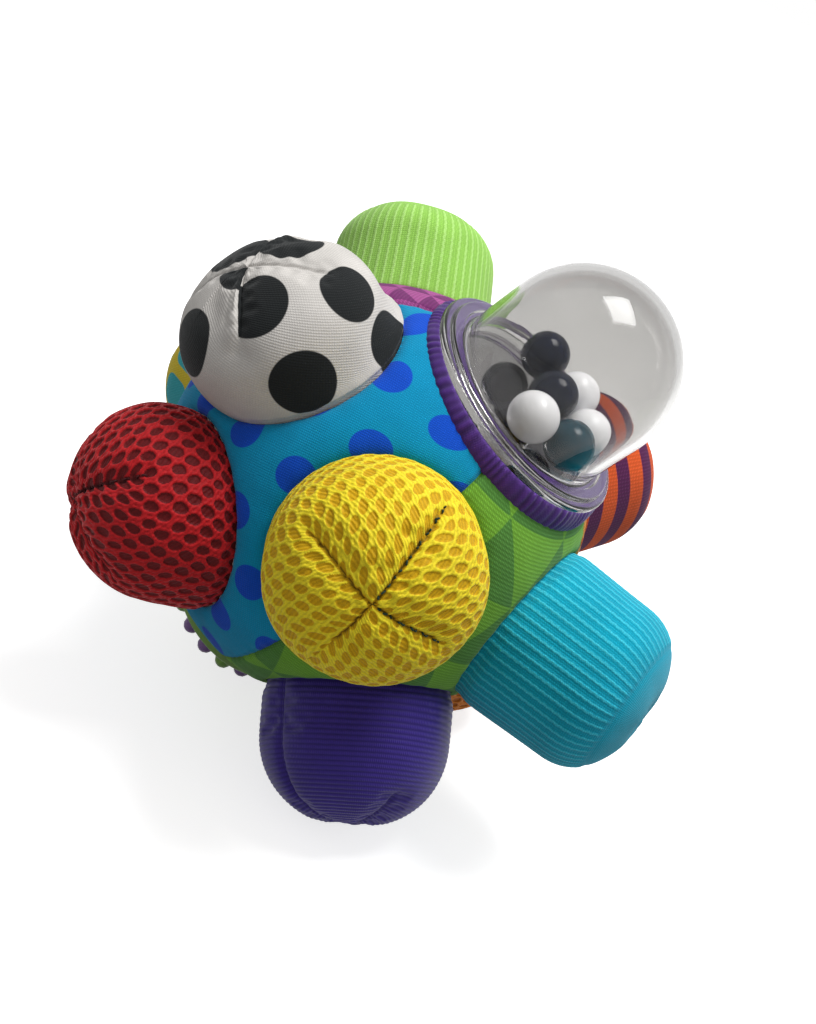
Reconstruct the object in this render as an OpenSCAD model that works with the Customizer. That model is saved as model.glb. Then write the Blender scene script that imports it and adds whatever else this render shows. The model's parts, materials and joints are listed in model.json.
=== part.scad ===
// Soft sensory ball: a stuffed fabric ball with ten textured knobs, a clear rattle dome and a nubbed teether.
// Millimetres, +Z up. It stands on two knobs and a nub, its origin under the middle of its box.
// Every piece is drawn in the ball's own frame, with the crossing of the knobs' axes at zero and the dome on +Z,
// and standing() then tips the ball over and sets it on the floor.
// A direction is [azimuth, polar]: degrees around the dome's axis, and degrees away from it.

/* [Ball] */
// Radius of the fabric ball without its knobs
ball_r = 48.2; // [47:0.2:52]
// Distance from the crossing of the knobs' axes to the ball's middle, towards the dome
ball_lift = 3; // [1:0.5:4]
// Distance from the dome's axis to the ball's middle, towards the white and the red knob
ball_aside = 2.6; // [0:0.2:3]
// Thickness of the fabric of the gores and the knob covers
fabric_t = 1; // [0.6:0.1:1.6]
// Gap left at a sewn edge and between a cover and its filling
seam_gap = 0.15; // [0.05:0.05:0.3]
// Azimuth at which the seam between the blue and the green gore runs
gore_seam = 0; // [-10:1:10]

/* [Round knobs] */
// Radius of a round knob at its seam
round_r = 21.7; // [17:0.1:22]
// How far a round knob's tip stands out past the ball's radius
round_h = 21.8; // [18:0.2:25]
// Distance from a round knob's axis to the middle of its shoulder's rounding
round_flat = 8.5; // [3:0.5:12]
// Rise of a round knob's crown above its shoulder
round_rise = 2.6; // [1:0.1:4]

/* [Blunt knobs] */
// Radius of a blunt knob at its seam
blunt_r = 20.6; // [17:0.1:22]
// How far a blunt knob's tip stands out past the ball's radius
blunt_h = 28.3; // [23:0.1:32]
// Distance from a blunt knob's axis to the middle of its shoulder's rounding
blunt_flat = 8.5; // [3:0.5:12]
// Rise of a blunt knob's crown above its shoulder
blunt_rise = 1.8; // [1:0.1:4]

/* [Tapered knobs] */
// Radius of a tapered knob at its seam
tapered_r = 21.1; // [17:0.1:22]
// How far a tapered knob's tip stands out past the ball's radius
tapered_h = 21.8; // [19:0.2:25]
// Distance from a tapered knob's axis to the middle of its shoulder's rounding
tapered_flat = 2.5; // [2:0.5:8]
// Rise of a tapered knob's crown above its shoulder
tapered_rise = 0.4; // [0.2:0.1:2]

/* [Knob places] */
// Angle by which the side of every knob leans in
knob_taper = 3; // [0:0.5:6]
// Direction of the yellow mesh knob
yellow_at = [-1, 65]; // [-180:1:180]
// Direction of the white dotted knob
white_at = [-71, 61]; // [-180:1:180]
// Direction of the red mesh knob
red_at = [-44, 107]; // [-180:1:180]
// Direction of the turquoise corduroy knob
turquoise_at = [71, 66]; // [-180:1:180]
// Direction of the lime corduroy knob
lime_at = [-143, 64]; // [-180:1:180]
// Direction of the striped knob
striped_at = [144, 63]; // [-180:1:180]
// Direction of the spotted knob
spotted_at = [-127, 112]; // [-180:1:180]
// Direction of the pink knob
pink_at = [174, 109]; // [-180:1:180]

/* [Darts] */
// Length of a dart from the tip of its knob
dart_len = 16; // [10:0.5:17]
// Width of the crease along a dart
dart_w = 0.8; // [0.4:0.1:1.5]
// Depth of the crease along a dart
dart_depth = 0.5; // [0.2:0.1:0.5]

/* [Standing] */
// Azimuth towards which the dome leans when the ball stands
lean_az = 77; // [70:1:84]
// Azimuth of the violet and the orange knob, on each side of that direction
stand_spread = 36; // [32:1:40]
// Polar angle of the violet and the orange knob
stand_polar = 112; // [108:1:118]
// Depth to which those two knobs are pressed flat on the floor
flat_depth = 0.5; // [0.4:0.1:0.8]

/* [Rattle] */
// Depth of the back plate's underside below the ball's pole
plate_depth = 6.6; // [5:0.2:8]
// Thickness of the back plate
plate_t = 2; // [1.2:0.1:3]
// Radius of the chamber inside the dome
chamber_r = 19.2; // [18:0.2:21]
// Wall of the dome
dome_wall = 1.5; // [1:0.1:2.5]
// Height of the dome's straight part above the back plate
dome_straight = 15; // [10:0.5:20]
// Radius of the dome's flange
flange_r = 26.3; // [25:0.1:28]
// Thickness of the flange
flange_t = 1.6; // [1:0.1:2.5]
// Width of the flange's lower step
flange_step = 1.8; // [1:0.1:2.5]
// Height of the raised ring inside that step
flange_ring = 1; // [0.5:0.1:2]
// How far the gathered collar stands out past the flange
collar_lip = 2.7; // [1.5:0.1:4]

/* [Beads] */
// Diameter of a bead
bead_d = 10.6; // [8:0.1:11]
// Gap between a bead and what lies beside it
bead_gap = 0.5; // [0.3:0.1:0.8]
// Azimuth of the first bead in the row along the wall
first_bead_az = 0; // [-20:1:20]

/* [Teether] */
// Radius of the teether cap
teether_r = 19.5; // [18:0.5:22]
// Height of the cap above the ball
teether_rise = 5.4; // [4:0.2:7]
// Diameter of a nub
nub_d = 4.2; // [3:0.1:4.6]
// How far a nub stands out of the cap
nub_proud = 3; // [2:0.1:3.4]
// Distance between neighbouring nubs
nub_pitch = 5.6; // [4.8:0.1:5.8]
// Rings of nubs around the middle one
nub_rings = 3; // [1:1:3]

/* [Hidden] */
$fn = 96;

// A knob's shape is its seam radius, its height, and the place and rise of its rounding.
round_knob = [round_r, round_h, round_flat, round_rise];
blunt_knob = [blunt_r, blunt_h, blunt_flat, blunt_rise];
tapered_knob = [tapered_r, tapered_h, tapered_flat, tapered_rise];
violet_at = [lean_az - stand_spread, stand_polar];
orange_at = [lean_az + stand_spread, stand_polar];
knobs = [
  [yellow_at, round_knob], [white_at, round_knob], [spotted_at, round_knob], [pink_at, round_knob],
  [turquoise_at, blunt_knob], [lime_at, blunt_knob], [striped_at, blunt_knob],
  [red_at, tapered_knob], [violet_at, tapered_knob], [orange_at, tapered_knob]
];
ball_middle = [0, -ball_aside, ball_lift];
fabric_inner_r = ball_r - fabric_t;
filling_r = fabric_inner_r - seam_gap;
gore_angle = 90;
arc_steps = 10;
settle_steps = 40;
far = 4 * ball_r;

// Rattle heights, along the dome's axis from the crossing of the knobs' axes
plate_z = ball_lift + ball_r - plate_depth;
chamber_z = plate_z + plate_t;
dome_z = chamber_z + dome_straight;
flange_z = chamber_z + seam_gap;
dome_r = chamber_r + dome_wall;
collar_r = flange_r + collar_lip;
plate_r = flange_r - flange_step;
// The collar's outer edge meets the ball here, and it reaches down to where the ball falls away the most
collar_edge_z = ball_lift + sqrt(pow(ball_r, 2) - pow(collar_r, 2));
collar_z = ball_lift + sqrt(pow(ball_r, 2) - pow(collar_r + ball_aside, 2));

// Bead places on the plate: a row along the wall, and one bead in the hollow behind its third and fourth
hollow = 2.5;
bead_r = bead_d / 2;
bead_pitch = bead_d + bead_gap;
bead_row_r = chamber_r - bead_r - bead_gap;
bead_step = 2 * asin(bead_pitch / (2 * bead_row_r));
bead_z = chamber_z + bead_r + bead_gap;
row_beads = 5;
middle_bead_az = hollow * bead_step;
middle_bead_r = bead_row_r * cos(bead_step / 2) - bead_pitch * sqrt(3) / 2;
// In a narrow chamber the middle bead can't lie beside the whole row, so it climbs until it clears it
nearest_bead = min([
  for (i = [0:row_beads - 1])
    norm(on_plate(i * bead_step, bead_row_r) - on_plate(middle_bead_az, middle_bead_r))
]);
middle_bead_rise = sqrt(max(0, bead_pitch * bead_pitch - nearest_bead * nearest_bead));

// Nub places on the cap
cap_r = ball_r + teether_rise;
nub_r = nub_d / 2;
nub_centre_r = cap_r + nub_proud - nub_r;
green_every = 3;

function on_plate(az, r) = r * [cos(az), sin(az)];
function direction(at) = [sin(at[1]) * cos(at[0]), sin(at[1]) * sin(at[0]), cos(at[1])];
function angle_between(a, b) = acos(max(-1, min(1, a * b)));
function arc(centre, r, from, to) = [
  for (i = [0:arc_steps]) let (a = from + (to - from) * i / arc_steps) centre + r * [cos(a), sin(a)]
];
function without_first(points) = [for (i = [1:len(points) - 1]) points[i]];

// The knob's outline: a side that leans in from the seam, a round shoulder and a flatter crown, all tangent
function seam_z(shape) = sqrt(ball_r * ball_r - shape[0] * shape[0]);
function shoulder_r(shape) = (shape[0] - shape[2]) * cos(knob_taper);
function shoulder_z(shape) = ball_r + shape[1] - shape[3] - shoulder_r(shape);
function shoulder_x(shape) = shape[2] - tan(knob_taper) * (shoulder_z(shape) - seam_z(shape));
function crown_r(shape) =
  shoulder_r(shape) + (pow(shoulder_x(shape), 2) + shape[3] * shape[3]) / (2 * shape[3]);
function crown_z(shape) = ball_r + shape[1] - crown_r(shape);
function crown_angle(shape) = atan2(shoulder_x(shape), shoulder_z(shape) - crown_z(shape));
function outline(shape, inset) = let (
  side = shape[0] - inset / cos(knob_taper),
  shoulder = [shoulder_x(shape), shoulder_z(shape)],
  turn = 90 - crown_angle(shape)
) concat(
  [[0, 0], [side, 0], [side, seam_z(shape)]],
  arc(shoulder, shoulder_r(shape) - inset, knob_taper, turn),
  without_first(arc([0, crown_z(shape)], crown_r(shape) - inset, turn, 90))
);

// How far a knob, the dome and the teether reach from the crossing of the knobs' axes in a direction
function knob_reach(shape, angle) = angle <= crown_angle(shape)
  ? crown_z(shape) * cos(angle) + crown_r(shape)
  : shoulder_x(shape) * sin(angle) + shoulder_z(shape) * cos(angle) + shoulder_r(shape);
function nub_angle(ring) = ring * nub_pitch / nub_centre_r * 180 / PI;
function teether_reach(tip) = nub_centre_r * cos(tip - nub_angle(nub_rings)) - ball_lift * cos(tip) + nub_r;

// The tip of the dome's axis from upright at which the two standing knobs and the lowest nub meet the floor
function stand_gap(tip) = let (down = direction([lean_az, 180 - tip]))
  knob_reach(tapered_knob, angle_between(down, direction(violet_at))) - flat_depth - teether_reach(tip);
function settled(low, high, steps) = let (mid = (low + high) / 2)
  steps == 0 ? mid : stand_gap(mid) > 0 ? settled(low, mid, steps - 1) : settled(mid, high, steps - 1);
tip_angle = settled(0, 90, settle_steps);
floor_below = teether_reach(tip_angle);

// The box around the standing ball, from the reach of its knobs and its dome
function in_ball_frame(v) = let (
  x = v[0] * cos(tip_angle) - v[2] * sin(tip_angle),
  z = v[0] * sin(tip_angle) + v[2] * cos(tip_angle)
) [x * cos(lean_az) - v[1] * sin(lean_az), x * sin(lean_az) + v[1] * cos(lean_az), z];
function reach(v) = let (u = in_ball_frame(v)) max(
  dome_z * u[2] + dome_r,
  max([for (k = knobs) knob_reach(k[1], angle_between(u, direction(k[0])))])
);
function middle(v) = (reach(v) - reach(-v)) / 2;
box_middle = [middle([1, 0, 0]), middle([0, 1, 0])];

module standing() {
  translate([-box_middle[0], -box_middle[1], floor_below])
    rotate([0, tip_angle, 0])
      rotate([0, 0, -lean_az])
        children();
}

module aim(at) {
  rotate([0, at[1], at[0]])
    children();
}

module ball(r) {
  translate(ball_middle)
    sphere(r);
}

module knob_body(at, shape, inset) {
  aim(at)
    rotate_extrude()
      polygon(outline(shape, inset));
}

// Four darts cross at a knob's tip, as creases of an even depth
module darts(at, shape) {
  difference() {
    aim(at)
      for (turn = [0, 90])
        rotate([0, 0, turn])
          translate([-dart_len, -dart_w / 2, seam_z(shape)])
            cube([2 * dart_len, dart_w, far]);
    knob_body(at, shape, dart_depth);
  }
}

module knob_cover(at, shape) {
  standing()
    difference() {
      knob_body(at, shape, 0);
      knob_body(at, shape, fabric_t);
      darts(at, shape);
      ball(fabric_inner_r);
    }
}

module pressed_flat() {
  difference() {
    children();
    translate([-far / 2, -far / 2, -far])
      cube([far, far, far]);
  }
}

module knob_filling(at, shape) {
  standing()
    difference() {
      knob_body(at, shape, fabric_t + seam_gap);
      ball(fabric_inner_r);
    }
}

// A gore is a quarter of the ball's skin, open round the collar, the teether and every knob.
// The knobs' holes start half way out, so that they don't all cross in the middle of the ball.
module gore(from) {
  standing()
    difference() {
      intersection() {
        ball(ball_r);
        rotate([0, 0, from + gore_seam])
          translate([seam_gap / 2, seam_gap / 2, -far])
            cube([far, far, 2 * far]);
      }
      ball(fabric_inner_r);
      cylinder(r = collar_r + seam_gap, h = far);
      translate([0, 0, -far])
        cylinder(r = teether_r + seam_gap, h = far);
      for (k = knobs)
        aim(k[0])
          translate([0, 0, ball_r / 2])
            cylinder(r = k[1][0] + seam_gap, h = far);
    }
}

module bead(az, r, rise) {
  standing()
    rotate([0, 0, first_bead_az + az])
      translate([r, 0, bead_z + rise])
        sphere(bead_r);
}

module row_bead(i) {
  bead(i * bead_step, bead_row_r, 0);
}

// Each nub of a colour, with the green ones every third round a ring and in the middle
module nubs(green, r) {
  for (ring = [0:nub_rings], i = [0:max(6 * ring, 1) - 1])
    if ((i % green_every == 0) == green)
      translate([0, 0, ball_lift])
        aim([lean_az + i * 360 / max(6 * ring, 1), 180 - nub_angle(ring)])
          translate([0, 0, nub_centre_r])
            sphere(r);
}

module ball_filling() {
  color("ivory")
    standing()
      difference() {
        ball(filling_r);
        rotate_extrude()
          polygon([
            [0, plate_z - seam_gap],
            [plate_r, plate_z - seam_gap],
            [plate_r, collar_z - fabric_t],
            [collar_r + seam_gap, collar_z - fabric_t],
            [collar_r + seam_gap, far],
            [0, far]
          ]);
      }
}

module blue_dot_gore() { color("deepskyblue") gore(-gore_angle); }
module green_triangle_gore() { color("yellowgreen") gore(0); }
module orange_triangle_gore() { color("orange") gore(gore_angle); }
module magenta_triangle_gore() { color("mediumvioletred") gore(2 * gore_angle); }

module yellow_mesh_knob_cover() { color("gold") knob_cover(yellow_at, round_knob); }
module yellow_mesh_knob_filling() { color("ivory") knob_filling(yellow_at, round_knob); }
module white_dot_knob_cover() { color("white") knob_cover(white_at, round_knob); }
module white_dot_knob_filling() { color("ivory") knob_filling(white_at, round_knob); }
module red_mesh_knob_cover() { color("firebrick") knob_cover(red_at, tapered_knob); }
module red_mesh_knob_filling() { color("ivory") knob_filling(red_at, tapered_knob); }
module violet_rib_knob_cover() { color("indigo") pressed_flat() knob_cover(violet_at, tapered_knob); }
module violet_rib_knob_filling() { color("ivory") knob_filling(violet_at, tapered_knob); }
module turquoise_cord_knob_cover() { color("darkturquoise") knob_cover(turquoise_at, blunt_knob); }
module turquoise_cord_knob_filling() { color("ivory") knob_filling(turquoise_at, blunt_knob); }
module lime_cord_knob_cover() { color("palegreen") knob_cover(lime_at, blunt_knob); }
module lime_cord_knob_filling() { color("ivory") knob_filling(lime_at, blunt_knob); }
module striped_knob_cover() { color("orangered") knob_cover(striped_at, blunt_knob); }
module striped_knob_filling() { color("ivory") knob_filling(striped_at, blunt_knob); }
module spotted_knob_cover() { color("khaki") knob_cover(spotted_at, round_knob); }
module spotted_knob_filling() { color("ivory") knob_filling(spotted_at, round_knob); }
module orange_mesh_knob_cover() { color("darkorange") pressed_flat() knob_cover(orange_at, tapered_knob); }
module orange_mesh_knob_filling() { color("ivory") knob_filling(orange_at, tapered_knob); }
module pink_rib_knob_cover() { color("hotpink") knob_cover(pink_at, round_knob); }
module pink_rib_knob_filling() { color("ivory") knob_filling(pink_at, round_knob); }

// The dome's wall runs up inside, over the crown and down outside to the stepped flange
module rattle_dome() {
  color([0.8, 0.85, 0.9, 0.35])
    standing()
      rotate_extrude()
        polygon(concat(
          [[chamber_r, flange_z]],
          arc([0, dome_z], chamber_r, 0, 90),
          arc([0, dome_z], dome_r, 90, 0),
          [
            [dome_r, flange_z + flange_t + flange_ring],
            [plate_r, flange_z + flange_t + flange_ring],
            [plate_r, flange_z + flange_t],
            [flange_r, flange_z + flange_t],
            [flange_r, flange_z]
          ]
        ));
}

module rattle_plate() {
  color("gainsboro")
    standing()
      translate([0, 0, plate_z])
        cylinder(r = plate_r, h = plate_t);
}

module rattle_collar() {
  color("rebeccapurple")
    standing()
      rotate_extrude()
        polygon([
          [plate_r + seam_gap, collar_z - fabric_t + seam_gap],
          [collar_r, collar_z - fabric_t + seam_gap],
          [collar_r, collar_edge_z],
          [flange_r, flange_z - seam_gap],
          [plate_r + seam_gap, flange_z - seam_gap]
        ]);
}

module white_bead_left() { color("white") row_bead(0); }
module teal_bead() { color("darkslategray") row_bead(1); }
module white_bead_right() { color("white") row_bead(2); }
module white_bead_back() { color("white") row_bead(3); }
module navy_bead_back() { color("midnightblue") row_bead(4); }
module navy_bead_middle() { color("midnightblue") bead(middle_bead_az, middle_bead_r, middle_bead_rise); }

module teether_cap() {
  color("darkseagreen")
    standing()
      difference() {
        union() {
          rotate_extrude()
            intersection() {
              translate([0, ball_lift])
                circle(cap_r);
              translate([0, -far])
                square([teether_r, far]);
            }
          nubs(true, nub_r);
        }
        ball(fabric_inner_r);
        nubs(false, nub_r + seam_gap);
      }
}

module teether_purple_nubs() {
  color("mediumpurple")
    standing()
      nubs(false, nub_r);
}

ball_filling();
blue_dot_gore();
green_triangle_gore();
orange_triangle_gore();
magenta_triangle_gore();
yellow_mesh_knob_cover();
yellow_mesh_knob_filling();
white_dot_knob_cover();
white_dot_knob_filling();
red_mesh_knob_cover();
red_mesh_knob_filling();
violet_rib_knob_cover();
violet_rib_knob_filling();
turquoise_cord_knob_cover();
turquoise_cord_knob_filling();
lime_cord_knob_cover();
lime_cord_knob_filling();
striped_knob_cover();
striped_knob_filling();
spotted_knob_cover();
spotted_knob_filling();
orange_mesh_knob_cover();
orange_mesh_knob_filling();
pink_rib_knob_cover();
pink_rib_knob_filling();
rattle_dome();
rattle_plate();
rattle_collar();
white_bead_left();
teal_bead();
white_bead_right();
white_bead_back();
navy_bead_back();
navy_bead_middle();
teether_cap();
teether_purple_nubs();
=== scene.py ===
# %% [markdown]
# A soft sensory ball, dressed for its portrait.
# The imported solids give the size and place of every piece. This lesson loads them, works out where the
# ball's own axes point, and then replaces each plain solid by the cloth, plastic or rubber that it
# stands for.

# %% Load the frame
import json
import bpy
import numpy as np
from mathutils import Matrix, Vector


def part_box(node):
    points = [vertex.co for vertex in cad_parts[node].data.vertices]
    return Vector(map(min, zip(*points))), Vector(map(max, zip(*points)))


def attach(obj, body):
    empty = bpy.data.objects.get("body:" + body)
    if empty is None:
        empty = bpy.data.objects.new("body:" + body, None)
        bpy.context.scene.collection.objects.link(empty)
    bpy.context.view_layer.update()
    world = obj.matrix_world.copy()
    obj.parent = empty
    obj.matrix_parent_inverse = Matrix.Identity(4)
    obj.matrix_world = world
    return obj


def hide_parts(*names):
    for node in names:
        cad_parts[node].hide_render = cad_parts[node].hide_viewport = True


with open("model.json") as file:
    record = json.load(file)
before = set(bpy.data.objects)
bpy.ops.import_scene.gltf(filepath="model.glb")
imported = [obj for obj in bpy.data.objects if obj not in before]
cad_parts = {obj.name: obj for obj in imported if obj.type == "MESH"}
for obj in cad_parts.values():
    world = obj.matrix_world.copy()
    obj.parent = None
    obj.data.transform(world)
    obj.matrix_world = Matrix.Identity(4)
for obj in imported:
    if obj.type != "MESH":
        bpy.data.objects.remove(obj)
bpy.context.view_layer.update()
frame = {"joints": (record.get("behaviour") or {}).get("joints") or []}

# %% [markdown]
# The ball stands tipped over on two of its knobs and on its teether, so its own axes aren't the world's.
# All shapes below are worked out in millimetres in the ball's frame, with the dome on its +Z pole.
# The beads' joints slide along that pole, so their axis gives the tip. The axes of the knobs and the dome
# cross in one point, which lies a known way down that pole from the middle of the rattle's back plate.

# %% The ball's own axes
MM = 0.001
LEAN_AZIMUTH = 77
PLATE_MIDDLE = 45.6


def about_y(degrees):
    """The matrix that turns about Y."""
    c, s = np.cos(np.radians(degrees)), np.sin(np.radians(degrees))
    return np.array([[c, 0, s], [0, 1, 0], [-s, 0, c]])


def about_z(degrees):
    """The matrix that turns about Z."""
    c, s = np.cos(np.radians(degrees)), np.sin(np.radians(degrees))
    return np.array([[c, -s, 0], [s, c, 0], [0, 0, 1]])


dome_axis = np.array(frame["joints"][0]["axis"])
tip_angle = np.degrees(np.arctan2(dome_axis[0], dome_axis[2]))
standing = about_y(tip_angle) @ about_z(-LEAN_AZIMUTH)
plate_low, plate_high = (np.array(corner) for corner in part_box("rattle_plate"))
crossing = (plate_low + plate_high) / 2 - PLATE_MIDDLE * MM * dome_axis


def stand(points):
    """Carries points from the ball's frame, in millimetres, to the world, in metres."""
    return points @ standing.T * MM + crossing


def aim(azimuth, polar):
    """The matrix that points +Z at an azimuth and a polar angle, with +X towards larger polar angles."""
    return about_z(azimuth) @ about_y(polar)


print("tip", round(tip_angle, 2), "crossing in mm", np.round(crossing / MM, 2))

# %% [markdown]
# The camera stands close, above the ball, and is rolled as a hand-held picture is.
# It is set by three angles and by where the crossing of the knobs' axes lies in its view, which were fitted
# to the outlines of the knobs. The focal length in pixels of the long side becomes millimetres on a 36 mm
# sensor.

# %% Camera
VIEW_AZIMUTH, VIEW_ELEVATION, VIEW_ROLL = 13.70, 27.30, 26.31
CROSSING_IN_VIEW = np.array([-8.5, -0.4, -276.36])
FOCAL_PIXELS, LONG_SIDE_PIXELS, SENSOR = 1200, 1024, 36

azimuth, elevation, roll = np.radians([VIEW_AZIMUTH, VIEW_ELEVATION, VIEW_ROLL])
level_back = np.array([np.sin(azimuth), -np.cos(azimuth), 0])
back = np.cos(elevation) * level_back + np.sin(elevation) * np.array([0, 0, 1])
level_right = np.array([np.cos(azimuth), np.sin(azimuth), 0])
level_up = np.cross(back, level_right)
right = np.cos(roll) * level_right + np.sin(roll) * level_up
camera_axes = np.column_stack([right, np.cross(back, right), back])
camera_at = crossing - camera_axes @ CROSSING_IN_VIEW * MM

camera_data = bpy.data.cameras.new("camera")
camera_data.sensor_fit, camera_data.sensor_width = "AUTO", SENSOR
camera_data.lens = FOCAL_PIXELS / LONG_SIDE_PIXELS * SENSOR
camera_data.clip_start = 0.01
camera = bpy.data.objects.new("camera", camera_data)
pose = np.eye(4)
pose[:3, :3], pose[:3, 3] = camera_axes, camera_at
camera.matrix_world = pose.T
bpy.context.scene.collection.objects.link(camera)
bpy.context.scene.camera = camera
print("camera in mm", np.round(camera_at / MM, 1), "lens", round(camera_data.lens, 2))

# %% [markdown]
# Every new piece is a grid of points, so one function turns grids into meshes.
# Rows and columns become quads, a column edge may wrap round, and a pole closes with a fan of triangles.
# The cloth's own coordinates go into a UV map in millimetres, and prints are stored as signed distances.

# %% Grids to meshes
def grid_faces(rows, columns, wrap):
    """Four corner indices for each cell of a grid, counted along the columns first."""
    row, column = np.meshgrid(np.arange(rows - 1), np.arange(columns if wrap else columns - 1), indexing="ij")
    here = (row * columns + column).ravel()
    beside = (row * columns + (column + 1) % columns).ravel()
    return np.column_stack([here, beside, beside + columns, here + columns])


def tip_fan(rows, columns):
    """Triangles from the last of a grid's rings to a tip that follows all its points."""
    last = (rows - 1) * columns + np.arange(columns)
    return np.column_stack([last, np.roll(last, -1), np.full(columns, rows * columns)])


def make_piece(name, points, faces, triangles=None, cloth=None, values=None, body="ball"):
    """Makes a piece from world points, quads and triangles, with UVs per face corner, values per point."""
    triangles = np.zeros((0, 3), int) if triangles is None else triangles
    corners = np.concatenate([faces.ravel(), triangles.ravel()])
    starts = np.concatenate([np.arange(len(faces)) * 4, len(faces) * 4 + np.arange(len(triangles)) * 3])
    mesh = bpy.data.meshes.new(name)
    mesh.vertices.add(len(points))
    mesh.vertices.foreach_set("co", np.ascontiguousarray(points, np.float32).ravel())
    mesh.loops.add(len(corners))
    mesh.loops.foreach_set("vertex_index", corners.astype(np.int32))
    mesh.polygons.add(len(starts))
    mesh.polygons.foreach_set("loop_start", starts.astype(np.int32))
    mesh.update(calc_edges=True)
    mesh.shade_smooth()
    if cloth is not None:
        layer = mesh.uv_layers.new(name="cloth")
        layer.uv.foreach_set("vector", np.ascontiguousarray(cloth, np.float32).ravel())
    for key, value in (values or {}).items():
        attribute = mesh.attributes.new(key, "FLOAT", "POINT")
        attribute.data.foreach_set("value", np.ascontiguousarray(value, np.float32).ravel())
    piece = bpy.data.objects.new(name, mesh)
    bpy.context.scene.collection.objects.link(piece)
    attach(piece, body)
    return piece


print("a tube of 3 rings of 4 points has", len(grid_faces(3, 4, True)), "faces")

# %% [markdown]
# Cloth that is drawn on a coarse grid needs three more helpers: a smooth curve through a few points, the way
# out of a surface, and a soft step from one value to another.

# %% Curves, normals and soft steps
def resample(points, count, wrap):
    """Points along the first axis on a smooth curve through the given ones: Catmull-Rom's cubic."""
    n = len(points)
    t = np.linspace(0, n if wrap else n - 1, count, endpoint=not wrap)
    first = np.minimum(t.astype(int), n - 1 if wrap else n - 2)
    f = (t - first).reshape(-1, *[1] * (points.ndim - 1))
    a, b, c, d = (points[(first + k) % n if wrap else np.clip(first + k, 0, n - 1)] for k in (-1, 0, 1, 2))
    return b + f / 2 * (c - a + f * (2 * a - 5 * b + 4 * c - d + f * (3 * (b - c) + d - a)))


def ring_normals(points):
    """Outward unit normals of a grid whose columns wrap: the cross product of its two directions."""
    around = np.roll(points, -1, 1) - np.roll(points, 1, 1)
    normal = np.cross(around, np.gradient(points, axis=0))
    length = np.linalg.norm(normal, axis=2, keepdims=True)
    return normal / np.maximum(length, 1e-12)


def smoothstep(low, high, x):
    """0 below low, 1 above high, and a smooth S between."""
    t = np.clip((x - low) / (high - low), 0, 1)
    return t * t * (3 - 2 * t)


print("a soft step half way is", smoothstep(0, 1, 0.5), "and near its end", round(smoothstep(0, 1, 0.9), 3))

# %% [markdown]
# A finish is a small graph of nodes. One function adds a node, sets its options and links its inputs.
# Colours are written as sRGB hex values, as a paint chart gives them, and turned to linear light here.

# %% Nodes and colours
def linear(hex_colour):
    """An sRGB hex colour as linear red, green, blue and an alpha of 1."""
    c = np.array([int(hex_colour[k:k + 2], 16) for k in (1, 3, 5)]) / 255
    return (*np.where(c <= 0.04045, c / 12.92, ((c + 0.055) / 1.055) ** 2.4), 1.0)


def add(tree, kind, options=None, inputs=None):
    """Adds a node. An input is a value, or the node or output socket that it is linked to."""
    made = tree.nodes.new(kind)
    for key, value in (options or {}).items():
        setattr(made, key, value)
    for key, value in (inputs or {}).items():
        if isinstance(value, bpy.types.Node):
            value = value.outputs[0]
        if isinstance(value, bpy.types.NodeSocket):
            tree.links.new(value, made.inputs[key])
        else:
            made.inputs[key].default_value = value
    return made


def new_material(name):
    """An empty node material, with its tree and its output."""
    material = bpy.data.materials.new(name)
    material.use_nodes = True
    material.node_tree.nodes.clear()
    return material, material.node_tree, material.node_tree.nodes.new("ShaderNodeOutputMaterial")


print("yellow in linear light", np.round(linear("#f2d21c"), 3))

# %% [markdown]
# Printed or plain cloth is polyester: matt, with a faint sheen from its fibre ends.
# The ground colour turns to ink where the stored distance to a motif's edge is negative.
# Two waves draw the yarns, at a spacing in millimetres, and noise keeps the dye from being one flat colour.
# Real yarns lie about 0.3 mm apart, which is too fine to show here, so most are drawn coarser.

# %% Cloth
# A wave texture of scale 1 repeats after this length
WAVE_PERIOD = 2 * np.pi / 20
# Spots of noise per millimetre, and the span that most of Blender's noise lies in
FIBRES_PER_MM, CLOUDS_PER_MM, NOISE_SPAN = 3.0, 0.12, (0.3, 0.7)
# Half the width in millimetres over which cloth turns to ink
INK_BLUR = 0.16


def shaded_by(tree, colour, shades):
    """A colour scaled once per shade, by a value carried from its span to a dark and a light factor."""
    for value, (low, high), dark, light in shades:
        factor = add(tree, "ShaderNodeMapRange", {}, {
            "Value": value, "From Min": low, "From Max": high, "To Min": dark, "To Max": light})
        colour = add(tree, "ShaderNodeVectorMath", {"operation": "SCALE"}, {0: colour, "Scale": factor})
    return colour


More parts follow.
